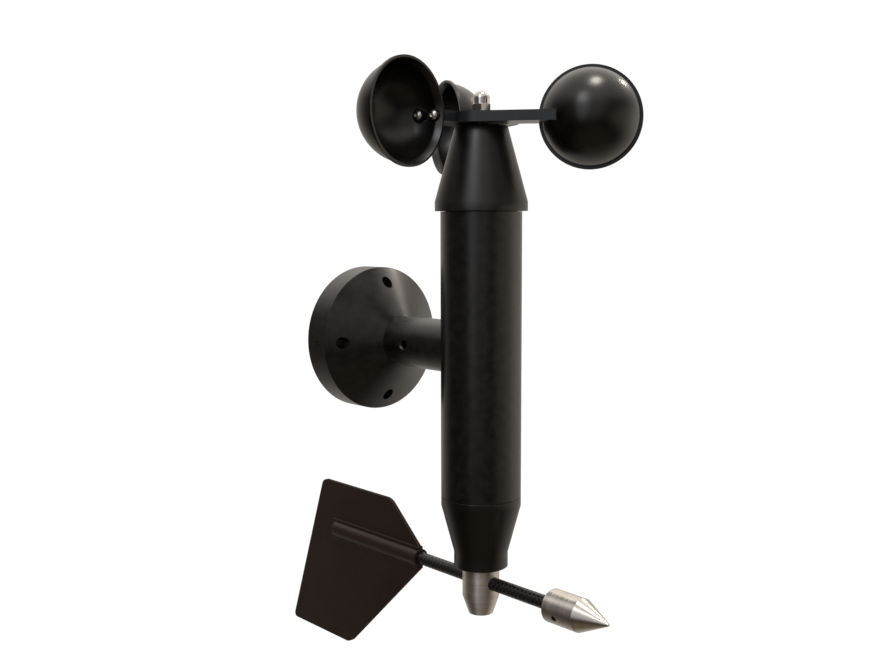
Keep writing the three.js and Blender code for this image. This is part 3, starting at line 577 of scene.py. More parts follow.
ALONG_Y, ALONG_Z = (1, 0.06, 1), (1, 1, 0.06)  # drawn along that axis
ROUND_Y, ROUND_Z = (0.02, 1, 0.02), (0.02, 0.02, 1)  # turned about it


def finish(key):
    """The material of that name, made the first time that it is asked for."""
    if key in bpy.data.materials:
        return bpy.data.materials[key]
    colours = bpy.context.scene.anemometer_colours
    makers = {
        "anodised_tube": lambda: hard_anodised(key, colours.anodised, colours.worn, ALONG_Z),
        "anodised_arm": lambda: hard_anodised(key, colours.anodised, colours.worn, ALONG_Y),
        "anodised_turned_head": lambda: hard_anodised(
            key, colours.anodised, colours.worn, ROUND_Z, (0.30, 0.35)),
        "anodised_turned_flange": lambda: hard_anodised(
            key, colours.anodised, colours.worn, ROUND_Y, (0.27, 0.33)),
        "anodised_plate": lambda: hard_anodised(
            key, colours.plate, colours.worn, (1, 1, 1), (0.28, 0.34)),
        "satin_black_paint": lambda: satin_paint(key, colours),
        "moulded_glass_nylon": lambda: moulded_plastic(key, colours),
        "woven_carbon_fibre": lambda: woven_carbon(key, colours),
        "turned_stainless_hub": lambda: turned_steel(key, colours.stainless, (0.38, 0.46), ROUND_Z),
        "turned_stainless_weight": lambda: turned_steel(key, colours.stainless, (0.28, 0.38), ROUND_Y),
        "bright_plated_nut": lambda: bright_metal(key, colours.plating, (0.07, 0.13), depth_mm=0.0008),
        "stainless_screw": lambda: bright_metal(key, linear("#d6d3cd"), (0.26, 0.36), depth_mm=0.001),
        "black_oxide_screw": lambda: bright_metal(key, linear("#1b1a19"), (0.34, 0.46)),
        "stainless_shaft": lambda: bright_metal(key, linear("#b5b1aa"), (0.25, 0.35)),
        "polished_bearing_steel": lambda: bright_metal(key, linear("#c2c4c6"), (0.1, 0.2)),
        "nickel_plated_magnet": lambda: bright_metal(key, linear("#c8cacb"), (0.15, 0.3)),
        "machined_brass": lambda: bright_metal(key, linear("#c19a4e"), (0.22, 0.36)),
        "black_rubber": lambda: moulded_part(key, "#131211", (0.62, 0.8), 1.52),
        "black_acetal": lambda: moulded_part(key, "#17171a", (0.38, 0.5), 1.48),
        "natural_nylon": lambda: moulded_part(key, "#d3cdbb", (0.45, 0.6), 1.53),
        "solder_masked_board": lambda: circuit_board(key),
        "white_studio_paper": lambda: plain_white(key),
    }
    return makers[key]()


# ---------------------------------------------------------------- body pieces


HEAD_SPIGOT = 18  # how far a head's spigot reaches into the tube
O_RING_PLACE, O_RING_GROOVE_WIDTH, O_RING_GROOVE_DEPTH = 11.5, 2.4, 1.7
BEARING_SEAT, BEARING_LIP, SEAT_SHOULDER = 11.1, 3.5, 5
CLIP_GROOVE, CLIP_WIDTH, CLIP_PLAY = 0.8, 1.1, 0.05
CAVITY = 22  # radius of the room for the boards inside a head's spigot


def head_outline(outside, height, lip, seat_end, spigot):
    """A bearing head upwards from the tube's end: spigot, outside, and the bore back down."""
    groove_top = -O_RING_PLACE + O_RING_GROOVE_WIDTH / 2
    clip_top = seat_end - CLIP_PLAY
    clip_low = clip_top - CLIP_WIDTH
    return [
        (CAVITY, -HEAD_SPIGOT), (spigot, -HEAD_SPIGOT),
        (spigot, groove_top - O_RING_GROOVE_WIDTH),
        (spigot - O_RING_GROOVE_DEPTH, groove_top - O_RING_GROOVE_WIDTH),
        (spigot - O_RING_GROOVE_DEPTH, groove_top), (spigot, groove_top), (spigot, 0),
        *outside,
        (lip, height), (lip, height - BEARING_LIP), (BEARING_SEAT, height - BEARING_LIP),
        (BEARING_SEAT, clip_top), (BEARING_SEAT + CLIP_GROOVE, clip_top),
        (BEARING_SEAT + CLIP_GROOVE, clip_low), (BEARING_SEAT, clip_low),
        (BEARING_SEAT, seat_end - SEAT_SHOULDER), (CAVITY, seat_end - SEAT_SHOULDER),
    ]


def grub_screw(radius, screw_length, top):
    """A socket set screw along Z, socket end up: a threaded shank with a cone point."""
    pitch = radius / 3
    turns = int(screw_length / pitch)
    outline = [(0, top - screw_length), (radius * 0.6, top - screw_length)]
    for i in range(turns):
        low = top - screw_length + (i + 0.5) * pitch
        outline += [(radius * 0.9, low), (radius, low + pitch / 2)]
    outline = [p for p in outline if p[1] < top - 0.3] + [(radius * 0.92, top), (0, top)]
    return softened(carved(lathe(outline, SMALL_STEPS),
                           [cylinder(radius / 2 / math.cos(math.pi / 6), top - radius, top + 1, 6)]),
                    radius * 0.03, 2)


ARM_SCREW_PLACE, ARM_SCREW_HOLE = 72, 3.2  # the arm's set screw, from the flange's back


class ANEMOMETER_OT_flange(bpy.types.Operator):
    """Builds the coned mounting flange with its bolt holes"""

    bl_idname = "anemometer.flange"
    bl_label = "Mounting flange"

    def execute(self, context):
        sizes = context.scene.anemometer_body
        radius, rim, circle, hole, arm, wall, corner = sizes_mm(
            sizes, "flange_radius", "flange_rim", "bolt_circle", "bolt_hole", "arm_radius",
            "arm_wall", "corner")
        neck, spigot_end, cable_way, gland_seat, gland_depth = 48.2, 85, 11, 14.3, 3.9
        dimple_radius, dimple_depth, dimple_steps = 1, 1.5, 16
        spigot = arm - wall - SPIGOT_FIT
        outline = [
            (gland_seat, 0), (radius, 0), (radius, rim), (arm, neck), (spigot, neck),
            (spigot, spigot_end), (cable_way, spigot_end), (cable_way, gland_depth),
            (gland_seat, gland_depth)]
        hole_places = [i * 90 for i in range(4)]
        holes = [turned_by(moved(cylinder(hole, -PAST, neck), (circle, 0, 0)), a, "Z") for a in hole_places]
        dimple = cylinder(dimple_radius, radius - dimple_depth, radius + PAST, dimple_steps)
        dimple = moved(turned_by(dimple, -90, "Y"), (0, 0, rim / 2))
        drill = turned_by(cylinder(ARM_SCREW_HOLE, cable_way - PAST, arm + PAST), -90, "Y")
        bm = carved(lathe(outline, FLANGE_STEPS, closed=True),
                    [*holes, dimple, moved(drill, (0, 0, ARM_SCREW_PLACE))])
        bm = wrapped(softened(bm, corner))
        piece(along_arm(bm), "turned_flange", "housing", "anodised_body",
              finish("anodised_turned_flange"), "mounting_flange")
        return {"FINISHED"}


class ANEMOMETER_OT_gland(bpy.types.Operator):
    """Builds the rubber gland in the back of the flange"""

    bl_idname = "anemometer.gland"
    bl_label = "Cable gland"

    def execute(self, context):
        cable, outer, thickness, sleeve = 4.5, 14, 3.6, 10.7
        bead, rim, slope, recess = 3, 2, 0.6, 0.8
        bm = lathe([(cable, SEAM), (cable + bead, SEAM), (cable + bead + slope, SEAM + recess),
                    (outer - rim - slope, SEAM + recess), (outer - rim, SEAM), (outer, SEAM),
                    (outer, thickness), (sleeve, thickness), (sleeve, 3 * thickness),
                    (cable, 3 * thickness)], closed=True)
        bm = wrapped(softened(bm, 0.25))
        piece(along_arm(bm), "gland_bush", "housing", "rubber", finish("black_rubber"), "cable_gland")
        return {"FINISHED"}


class ANEMOMETER_OT_arm(bpy.types.Operator):
    """Builds the side arm and the set screw that holds it on the flange's spigot"""

    bl_idname = "anemometer.arm"
    bl_label = "Side arm"

    def execute(self, context):
        radius, wall, tube, corner = sizes_mm(
            context.scene.anemometer_body, "arm_radius", "arm_wall", "tube_radius", "corner")
        start, sink, screw_radius, screw_length = 48.5, 1.2, 2.9, 7
        bore = radius - wall
        bm = lathe([(bore, start), (radius, start), (radius, -AXIS_Y), (bore, -AXIS_Y)],
                   ROUND_STEPS, closed=True)
        saddle = moved(turned_by(cylinder(tube + SEAM, -2 * radius, 2 * radius, 2 * ROUND_STEPS), 90, "X"),
                       (0, 0, -AXIS_Y))
        drill = turned_by(cylinder(ARM_SCREW_HOLE, bore - PAST, radius + PAST), -90, "Y")
        countersink = cylinder(ARM_SCREW_HOLE, radius - sink, radius + sink, SMALL_STEPS,
                               ARM_SCREW_HOLE + 2 * sink)
        bm = carved(bm, [saddle, moved(drill, (0, 0, ARM_SCREW_PLACE)),
                         moved(turned_by(countersink, -90, "Y"), (0, 0, ARM_SCREW_PLACE))])
        bm = wrapped(softened(bm, corner / 2))
        piece(along_arm(bm), "arm_tube", "housing", "anodised_body", finish("anodised_arm"), "side_arm")
        screw = grub_screw(screw_radius, screw_length, radius - sink)
        screw = along_arm(moved(turned_by(screw, -90, "Y"), (0, 0, ARM_SCREW_PLACE)))
        piece(screw, "arm_grub_screw", "housing", "screws", finish("black_oxide_screw"), "arm_set_screw",
              flat_above=35)
        return {"FINISHED"}


class ANEMOMETER_OT_tube(bpy.types.Operator):
    """Builds the main tube"""

    bl_idname = "anemometer.tube"
    bl_label = "Main tube"

    def execute(self, context):
        radius, wall, corner = sizes_mm(context.scene.anemometer_body, "tube_radius", "tube_wall", "corner")
        bore = radius - wall
        bm = lathe([(bore, tube_low.z), (radius, tube_low.z), (radius, tube_high.z), (bore, tube_high.z)],
                   ROUND_STEPS, closed=True)
        wire_hole_radius = 12
        wire_hole = turned_by(cylinder(wire_hole_radius, bore - wall, radius + PAST), -90, "X")
        bm = wrapped(softened(carved(bm, [wire_hole]), corner * 0.7))
        piece(on_axis(bm), "body_tube", "housing", "anodised_body", finish("anodised_tube"), "main_tube")
        return {"FINISHED"}


class ANEMOMETER_OT_heads(bpy.types.Operator):
    """Builds the upper and lower bearing heads"""

    bl_idname = "anemometer.heads"
    bl_label = "Bearing heads"

    def execute(self, context):
        tube, wall, rim, cone, nose, corner = sizes_mm(
            context.scene.anemometer_body, "tube_radius", "tube_wall", "rim_radius", "cone_radius",
            "nose_radius", "corner")
        spigot = tube - wall - SPIGOT_FIT
        rim_height, shaft_way, bearing_stack = 6.8, 7.3, 45.05
        shoulder = tube_high.z + SEAM
        height = upper_high.z - shoulder
        seat_end = height - BEARING_LIP - bearing_stack
        outside = [(rim, 0), (rim, rim_height), (cone, height)]
        bm = lathe(head_outline(outside, height, shaft_way, seat_end, spigot), closed=True)
        bm = wrapped(softened(bm, corner))
        piece(on_axis(moved(bm, (0, 0, shoulder))), "speed_head", "housing", "anodised_body",
              finish("anodised_turned_head"), "upper_bearing_head")

        band, taper_end, shaft_way, bearing_stack = 7, 43, 6.6, 40.05
        shoulder = tube_low.z - SEAM
        height = shoulder - lower_low.z
        seat_end = height - BEARING_LIP - bearing_stack
        outside = [(tube, 0), (tube, band), (nose, taper_end), (nose, height)]
        bm = lathe(head_outline(outside, height, shaft_way, seat_end, spigot), closed=True)
        bm = turned_by(wrapped(softened(bm, corner)), 180, "X")
        piece(on_axis(moved(bm, (0, 0, shoulder))), "direction_head", "housing", "anodised_body",
              finish("anodised_turned_head"), "lower_bearing_head")
        return {"FINISHED"}


# ---------------------------------------------------------------- rotor pieces


SCREW_PLACES = (-6, -15.7)  # along the cup's axis, behind its mouth
PAD_RADIUS = 4.6
SCREW_GRIP = 15
CUP_SCREW_HOLE = 2.15
BOWL_STEPS = 28  # facets from the middle of a bowl to its rim


def screw_seat(place, inside):
    """Where a cup screw's head sits, along the arm from the cup's centre."""
    edge = abs(place) + PAD_RADIUS
    return -math.sqrt(inside * inside - edge * edge)


def at_cup(bm, sizes, i):
    """Turns a shape made along a cup's own arm (+X outwards) to that cup's place."""
    angle = math.degrees(sizes.first_cup) + i * 360 / sizes.cup_count
    return on_axis(moved(turned_by(bm, angle, "Z"), (0, 0, (spider_low.z + spider_high.z) / 2)))


def facing_mouth(bm, rotor_radius):
    """Turns a shape made about Z so that +Z is the way that the cup's mouth faces."""
    return moved(turned_by(bm, -90, "X"), (rotor_radius, 0, 0))


class ANEMOMETER_OT_spider(bpy.types.Operator):
    """Builds the three-armed plate that carries the cups"""

    bl_idname = "anemometer.spider"
    bl_label = "Cup spider"

    def execute(self, context):
        sizes = context.scene.anemometer_rotor
        hub, tip, rotor, cup, lip, lip_thickness = sizes_mm(
            sizes, "hub_radius", "arm_tip", "rotor_radius", "cup_radius", "lip_radius", "lip_thickness")
        thickness = spider_high.z - spider_low.z
        middle = (spider_low.z + spider_high.z) / 2
        plate = on_axis(cylinder(hub, spider_low.z, spider_high.z, ROUND_STEPS))
        bars, cuts = [], [on_axis(cylinder(SHAFT_HOLE, spider_low.z - PAST, spider_high.z + PAST))]
        inside = cup - sizes.cup_wall / MM
        for i in range(sizes.cup_count):
            bars.append(at_cup(block((tip, hub, thickness), (tip / 2, -hub / 2, 0)), sizes, i))
            cuts.append(at_cup(facing_mouth(ball(cup + SEAM), rotor), sizes, i))
            ring = cylinder(lip + SEAM, -lip_thickness - SEAM, PAST, ROUND_STEPS)
            cuts.append(at_cup(facing_mouth(ring, rotor), sizes, i))
            for place in SCREW_PLACES:
                deep = screw_seat(place, inside) - SCREW_GRIP - PAST
                hole = cylinder(CUP_SCREW_HOLE, deep, 0, HOLE_STEPS)
                cuts.append(at_cup(moved(turned_by(hole, 90, "Y"), (rotor, place, 0)), sizes, i))
        bm = softened(carved(carved(plate, bars, "UNION"), cuts), 0.45)
        moved(bm, (0, -AXIS_Y, -middle))
        bm = on_axis(moved(wrapped(bm), (0, 0, middle)))
        piece(bm, "spider_plate", "rotor", "anodised_body", finish("anodised_plate"), "cup_spider")
        return {"FINISHED"}


def swept(bm, start, centre, degrees, steps):
    """Draws an arc in the XZ plane from a vertex round an (x, z) centre in mm; gives its far end."""
    made = bmesh.ops.spin(bm, geom=[start], cent=Vector((centre[0], 0, centre[1])) * MM, axis=(0, -1, 0),
                          angle=math.radians(degrees), steps=steps, use_duplicate=False)
    return made["geom_last"][0]


def cup_shell(sizes):
    """One cup about Z, its mouth up: a ball-shaped shell with a lip and two screw pads."""
    radius, wall, lip, lip_thickness = sizes_mm(
        sizes, "cup_radius", "cup_wall", "lip_radius", "lip_thickness")
    inside = radius - wall
    lip_width, flare_depth = 1.6, 4
    lip_angle = math.degrees(math.asin(lip_thickness / radius))
    flare_angle = math.degrees(math.asin(flare_depth / inside))
    bm = bmesh.new()
    outer_end = swept(bm, bm.verts.new((0, 0, -radius * MM)), (0, 0), 90 - lip_angle, BOWL_STEPS)
    under = bm.verts.new((lip * MM, 0, -lip_thickness * MM))
    top = bm.verts.new((lip * MM, 0, 0))
    mouth = bm.verts.new(((lip - lip_width) * MM, 0, 0))
    throat_radius = math.sqrt(inside * inside - flare_depth * flare_depth)
    throat = bm.verts.new((throat_radius * MM, 0, -flare_depth * MM))
    for pair in ((outer_end, under), (under, top), (top, mouth), (mouth, throat)):
        bm.edges.new(pair)
    swept(bm, throat, (0, 0), flare_angle - 90, BOWL_STEPS)
    bm = spun(bm, bm.verts[:] + bm.edges[:], ROUND_STEPS)
    pads, holes = [], []
    for place in SCREW_PLACES:
        seat = screw_seat(place, inside)
        pad = moved(turned_by(cylinder(PAD_RADIUS, -radius, seat), 90, "Y"), (0, 0, place))
        pads.append(carved(pad, [ball(radius - wall / 2)], "INTERSECT"))
        hole = cylinder(CUP_SCREW_HOLE, -radius - PAST, seat + PAST, HOLE_STEPS)
        holes.append(moved(turned_by(hole, 90, "Y"), (0, 0, place)))
    bm = carved(carved(bm, pads, "UNION"), holes)
    return softened(bm, 0.4)


def button_screw():
    """A button-head screw whose head sits on z = 0, its shank running down."""
    radius, head, height = 2, 3.8, 2.2
    outline = [(0, -SCREW_GRIP), (radius - 0.4, -SCREW_GRIP), (radius, 0.4 - SCREW_GRIP), (radius, 0.05),
               (head, 0.05), (head, 0.45), (head * 0.93, 0.95), (head * 0.8, 1.45), (head * 0.62, 1.9),
               (head * 0.45, height), (0, height)]
    socket = cylinder(1.25 / math.cos(math.pi / 6), height - 1.4, height + 1, 6)
    return softened(carved(lathe(outline, SMALL_STEPS), [socket]), 0.08, 2, math.radians(40))


class ANEMOMETER_OT_cups(bpy.types.Operator):
    """Builds the cups and their button-head screws"""

    bl_idname = "anemometer.cups"
    bl_label = "Cups"

    def execute(self, context):
        sizes = context.scene.anemometer_rotor
        rotor, radius, wall = sizes_mm(sizes, "rotor_radius", "cup_radius", "cup_wall")
        for i in range(sizes.cup_count):
            shell = wrapped(cup_shell(sizes))
            piece(at_cup(facing_mouth(shell, rotor), sizes, i), f"cup_shell_{i + 1}", "rotor", "cup_black",
                  finish("satin_black_paint"), f"cup_{i + 1}")
            for j, place in enumerate(SCREW_PLACES):
                seat = rotor + screw_seat(place, radius - wall)
                screw = moved(turned_by(wrapped(button_screw()), 90, "Y"), (seat, place, 0))
                piece(at_cup(screw, sizes, i), f"cup_bolt_{i + 1}_{j + 1}", "rotor", "screws",
                      finish("stainless_screw"), f"cup_{i + 1}_screw_{j + 1}", flat_above=35)
        return {"FINISHED"}


class ANEMOMETER_OT_nut(bpy.types.Operator):
    """Builds the dome nut, its washer and the sleeve under the spider"""

    bl_idname = "anemometer.nut"
    bl_label = "Dome nut and washer"

    def execute(self, context):
        flats, hex_height, dome, thread_depth, angle = 6.5, 5.6, 6.1, 11, -14.7
        foot_chamfer, top_chamfer, washer_radius = 0.65, 0.75, 8
        height = nut_high.z - nut_low.z
        corner = flats / math.cos(math.pi / 6)
        hexagon = turned_by(cylinder(corner, 0, hex_height, 6), angle + 30, "Z")
        round_body = lathe([(0, 0), (flats - 0.1, 0), (corner, foot_chamfer),
                            (corner, hex_height - top_chamfer), (flats - 0.3, hex_height),
                            (0, hex_height)])
        hexagon = carved(hexagon, [round_body], "INTERSECT")
        dome_ball = moved(ball(dome, ROUND_STEPS), (0, 0, height - dome))
        barrel = cylinder(dome - 0.01, hex_height - 1, height - dome, ROUND_STEPS)
        thread = cylinder(SHAFT_HOLE, -PAST, thread_depth)
        bm = carved(carved(hexagon, [barrel, dome_ball], "UNION"), [thread])
        bm = wrapped(softened(bm, 0.16, 2))
        piece(on_axis(moved(bm, (0, 0, nut_low.z))), "dome_nut", "rotor", "stainless",
              finish("bright_plated_nut"), "cap_nut", flat_above=35)

        bm = lathe([(SHAFT_HOLE, washer_low.z), (washer_radius, washer_low.z),
                    (washer_radius, washer_high.z), (SHAFT_HOLE, washer_high.z)], closed=True)
        piece(on_axis(wrapped(softened(bm, 0.2))), "plain_washer", "rotor", "stainless",
              finish("stainless_screw"), "nut_washer")

        sleeve_low, sleeve_high = box_mm("spider_sleeve")
        foot, outside, step = 5.6, 6.8, sleeve_low.z + 1
        bm = lathe([(SHAFT_HOLE, sleeve_low.z), (foot, sleeve_low.z), (foot, step), (outside, step),
                    (outside, sleeve_high.z), (SHAFT_HOLE, sleeve_high.z)], closed=True)
        piece(on_axis(wrapped(softened(bm, 0.15))), "collar_sleeve", "rotor", "stainless",
              finish("stainless_shaft"), "spider_sleeve")
        return {"FINISHED"}


# ---------------------------------------------------------------- vane pieces


class ANEMOMETER_OT_hub(bpy.types.Operator):
    """Builds the vane hub"""

    bl_idname = "anemometer.hub"
    bl_label = "Vane hub"

    def execute(self, context):
        radius, tip, rod = sizes_mm(context.scene.anemometer_vane, "hub_radius", "hub_tip", "rod_radius")
        straight, clamp_hole, cross_steps = 22.5, 3.05, 64
        bm = lathe([(0, hub_low.z), (tip, hub_low.z), (radius, hub_high.z - straight), (radius, hub_high.z),
                    (0, hub_high.z)], 2 * ROUND_STEPS)
        cross = turned_by(cylinder(rod + ROD_FIT, -2 * radius, 2 * radius, cross_steps), 90, "Y")
        cross = moved(turned_by(cross, VANE_HEADING, "Z"), (0, 0, ROD_Z))
        thread = cylinder(SHAFT_HOLE, ROD_Z, hub_high.z + PAST)
        screw_hole = cylinder(clamp_hole, hub_low.z - PAST, ROD_Z)
        bm = wrapped(softened(carved(bm, [cross, thread, screw_hole]), 0.35))
        piece(on_axis(bm), "vane_boss", "vane", "stainless", finish("turned_stainless_hub"), "vane_hub")
        return {"FINISHED"}


class ANEMOMETER_OT_rod(bpy.types.Operator):
    """Builds the carbon rod"""

    bl_idname = "anemometer.rod"
    bl_label = "Carbon rod"

    def execute(self, context):
        (radius,) = sizes_mm(context.scene.anemometer_vane, "rod_radius")
        front, back = AXIS_Y - rod_low.y, AXIS_Y - rod_high.y
        inside, steps, rings = radius - 1.5, 64, 40
        bm = lathe([(inside, back), (radius, back), (radius, front), (inside, front)], steps, closed=True)
        along = [e for e in bm.edges if abs(e.verts[0].co.z - e.verts[1].co.z) > radius * MM]
        bmesh.ops.subdivide_edges(bm, edges=along, cuts=rings, use_grid_fill=True)
        bm = turned_by(wrapped(softened(bm, 0.2)), 90, "Y")
        piece(on_vane(bm), "carbon_tube", "vane", "carbon_rod", finish("woven_carbon_fibre"), "vane_rod")
        return {"FINISHED"}


class ANEMOMETER_OT_weight(bpy.types.Operator):
    """Builds the pointed counterweight and its set screw"""

    bl_idname = "anemometer.weight"
    bl_label = "Counterweight"

    def execute(self, context):
        radius, rod = sizes_mm(context.scene.anemometer_vane, "weight_radius", "rod_radius")
        start, shoulder, tip, bore_end, tip_radius = 73.4, 100.6, 124.2, 95.4, 1
        screw_place, screw_down, screw_radius, screw_length = 84.5, 19.9, 1.9, 6
        drill_radius, drill_depth, screw_sink = 2.1, 1.5, 0.5
        hole = rod + ROD_FIT
        bm = lathe([(hole, start), (radius, start), (radius, shoulder), (tip_radius, tip), (0, tip),
                    (0, bore_end), (hole, bore_end), (hole, start)], 2 * ROUND_STEPS)
        drill = cylinder(drill_radius, rod - drill_depth, radius + PAST, HOLE_STEPS)
        drill = turned_by(drill, 90 + screw_down, "X")
        bm = turned_by(wrapped(bm), 90, "Y")
        bm = softened(carved(bm, [moved(drill, (screw_place, 0, 0))]), 0.3)
        piece(on_vane(bm), "pointed_weight", "vane", "stainless", finish("turned_stainless_weight"),
              "counterweight")
        screw = grub_screw(screw_radius, screw_length, radius - screw_sink)
        screw = turned_by(screw, 90 + screw_down, "X")
        piece(on_vane(moved(screw, (screw_place, 0, 0))), "weight_grub_screw", "vane", "screws",
              finish("black_oxide_screw"), "counterweight_screw", flat_above=35)
        return {"FINISHED"}


FIN_CORNERS = ((-60.7, 0), (-107.4, 42), (-202, 42), (-252.4, -99), (-165.4, -99))


def fin_plate(thickness, corner_radius=5):
    """The flat of the fin, standing on the rod's line, with rounded corners and edges."""
    bm = bmesh.new()
    corners = [bm.verts.new((s * MM, -thickness / 2 * MM, w * MM)) for s, w in FIN_CORNERS]
    bm.faces.new(corners)
    bmesh.ops.bevel(bm, geom=corners, offset=corner_radius * MM, offset_type="OFFSET", segments=8,
                    profile=0.5, affect="VERTICES", clamp_overlap=True, material=-1)
    made = bmesh.ops.extrude_face_region(bm, geom=bm.faces[:])
    risen = [g for g in made["geom"] if isinstance(g, bmesh.types.BMVert)]
    bmesh.ops.translate(bm, vec=(0, thickness * MM, 0), verts=risen)
    bmesh.ops.recalc_face_normals(bm, faces=bm.faces)
    return bm


def rib_section(bm, radius, half_plate, fillet):
    """The rib's cross-section in the YZ plane: a round back that runs into the plate in fillets."""
    away = math.sqrt((radius + fillet) ** 2 - (half_plate + fillet) ** 2)
    lean = math.atan2(half_plate + fillet, away)
    start = bm.verts.new((0, half_plate * MM, away * MM))
    centre = Vector((0, half_plate + fillet, away)) * MM
    made = bmesh.ops.spin(bm, geom=[start], cent=centre, axis=(1, 0, 0),
                          angle=-(math.pi / 2 - lean), steps=6, use_duplicate=False)
    last = made["geom_last"][0]
    bmesh.ops.spin(bm, geom=[last], cent=(0, 0, 0), axis=(1, 0, 0),
                   angle=-(math.pi - 2 * lean), steps=20, use_duplicate=False)
    low_end = min((v for v in bm.verts if len(v.link_edges) == 1), key=lambda v: v.co.z)
    centre = Vector((0, half_plate + fillet, -away)) * MM
    bmesh.ops.spin(bm, geom=[low_end], cent=centre, axis=(1, 0, 0),
                   angle=-(math.pi / 2 - lean), steps=6, use_duplicate=False)
    bmesh.ops.mirror(bm, geom=bm.verts[:] + bm.edges[:], axis="Y", merge_dist=0)
    return bm


def fin_rib(radius, half_plate, fillet, start, end):
    bm = rib_section(bmesh.new(), radius, half_plate, fillet)
    loose = [v for v in bm.verts if len(v.link_edges) == 1]
    for side in (1, -1):
        pair = [v for v in loose if v.co.z * side > 0]
        bm.edges.new(pair)
    bmesh.ops.contextual_create(bm, geom=bm.edges[:])
    bmesh.ops.translate(bm, vec=(end * MM, 0, 0), verts=bm.verts)
    made = bmesh.ops.extrude_face_region(bm, geom=bm.faces[:])
    risen = [g for g in made["geom"] if isinstance(g, bmesh.types.BMVert)]
    bmesh.ops.translate(bm, vec=((start - end) * MM, 0, 0), verts=risen)
    bmesh.ops.recalc_face_normals(bm, faces=bm.faces)
    return bm


class ANEMOMETER_OT_fin(bpy.types.Operator):
    """Builds the moulded tail fin with its rod socket"""

    bl_idname = "anemometer.fin"
    bl_label = "Tail fin"

    def execute(self, context):
        thickness, socket, fillet, strip, rise, rod = sizes_mm(
            context.scene.anemometer_vane, "fin_thickness", "socket_radius", "fillet", "strip",
            "strip_rise", "rod_radius")
        start, end, bore_end = -70, -187, -178
        low = thickness / 2 + rise
        tail = lathe([(socket / 3, end), (socket * 0.8, end + 1.5), (socket, end + 4), (2 * strip, end + 4),
                      (2 * strip, end - 1), (socket / 3, end - 1)], SMALL_STEPS, closed=True)
        rib = carved(fin_rib(socket, low, fillet, start, end), [turned_by(tail, 90, "Y")])
        pad = block((start - end, 2 * low, 2 * strip), ((start + end) / 2, 0, 0))
        front = turned_by(cylinder(3 * socket, start, 0), 90, "Y")
        bore = turned_by(cylinder(rod + ROD_FIT, bore_end, start + PAST), 90, "Y")
        pad = softened(pad, rise * 0.8, 4)
        bm = carved(carved(fin_plate(thickness), [pad, rib], "UNION"), [front, bore])
        piece(on_vane(softened(bm, 0.35, 3, math.radians(40))), "fin_moulding", "vane", "fin_plastic",
              finish("moulded_glass_nylon"), "tail_fin", flat_above=40)
        return {"FINISHED"}


# ---------------------------------------------------------------- frame nodes that stay


KEPT_NODES = {
    "black_rubber": ["upper_o_ring", "lower_o_ring"],
    "polished_bearing_steel": [
        "rotor_upper_outer_ring", "rotor_upper_inner_ring", "rotor_upper_ball_set",
        "rotor_lower_outer_ring", "rotor_lower_inner_ring", "rotor_lower_ball_set",
        "vane_upper_outer_ring", "vane_upper_inner_ring", "vane_upper_ball_set",
        "vane_lower_outer_ring", "vane_lower_inner_ring", "vane_lower_ball_set",
        "rotor_bearing_circlip", "vane_bearing_circlip"],
    "stainless_shaft": [
        "rotor_shaft", "rotor_bearing_spacer", "vane_shaft", "vane_bearing_spacer", "hub_rod_screw"],
    "black_acetal": ["slot_disc", "slot_sensor", "angle_sensor"],
    "solder_masked_board": ["speed_board", "direction_board"],
    "natural_nylon": [
        "speed_board_standoff_1", "speed_board_standoff_2",
        "direction_board_standoff_1", "direction_board_standoff_2"],
    "machined_brass": ["magnet_holder"],
    "nickel_plated_magnet": ["direction_magnet"],
}


class ANEMOMETER_OT_inner_finishes(bpy.types.Operator):
    """Gives the frame's inner pieces their finishes"""

    bl_idname = "anemometer.inner_finishes"
    bl_label = "Inner finishes"

    def execute(self, context):
        for key, names in KEPT_NODES.items():
            for name in names:
                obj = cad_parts[name]
                obj.data.materials.clear()
                obj.data.materials.append(finish(key))
        return {"FINISHED"}


# ---------------------------------------------------------------- camera, light and stage

CAMERA_TURN, CAMERA_LIFT, CAMERA_ROLL = (math.radians(v) for v in (-42.787, 6.113, -0.152))
CAMERA_DISTANCE = 789.77
CAMERA_AIM_RIGHT, CAMERA_AIM_UP = -27.151, 12.929
CAMERA_LENS, CAMERA_SENSOR = 43.152, 36

VIEW_BACK = Vector((math.sin(CAMERA_TURN) * math.cos(CAMERA_LIFT),
                    -math.cos(CAMERA_TURN) * math.cos(CAMERA_LIFT), math.sin(CAMERA_LIFT)))
VIEW_RIGHT = Vector((math.cos(CAMERA_TURN), math.sin(CAMERA_TURN), 0))
VIEW_UP = VIEW_BACK.cross(VIEW_RIGHT)


def add_camera():
    aim = Vector((0, AXIS_Y, 0)) + VIEW_RIGHT * CAMERA_AIM_RIGHT + Vector((0, 0, CAMERA_AIM_UP))
    data = bpy.data.cameras.new("studio_camera")
    data.lens, data.sensor_width = CAMERA_LENS, CAMERA_SENSOR
    data.clip_start, data.clip_end = 0.01, 50
    camera = bpy.data.objects.new("studio_camera", data)
    bpy.context.scene.collection.objects.link(camera)
    turn = Matrix((VIEW_RIGHT, VIEW_UP, VIEW_BACK)).transposed()
    turn = turn @ Matrix.Rotation(CAMERA_ROLL, 3, "Z")
    camera.matrix_world = Matrix.Translation((aim + VIEW_BACK * CAMERA_DISTANCE) * MM) @ turn.to_4x4()
    bpy.context.scene.camera = camera


def from_view(right, up, back):
    """A direction given to the right, up and towards the camera, in the frame's axes."""
    return (VIEW_RIGHT * right + VIEW_UP * up + VIEW_BACK * back).normalized()


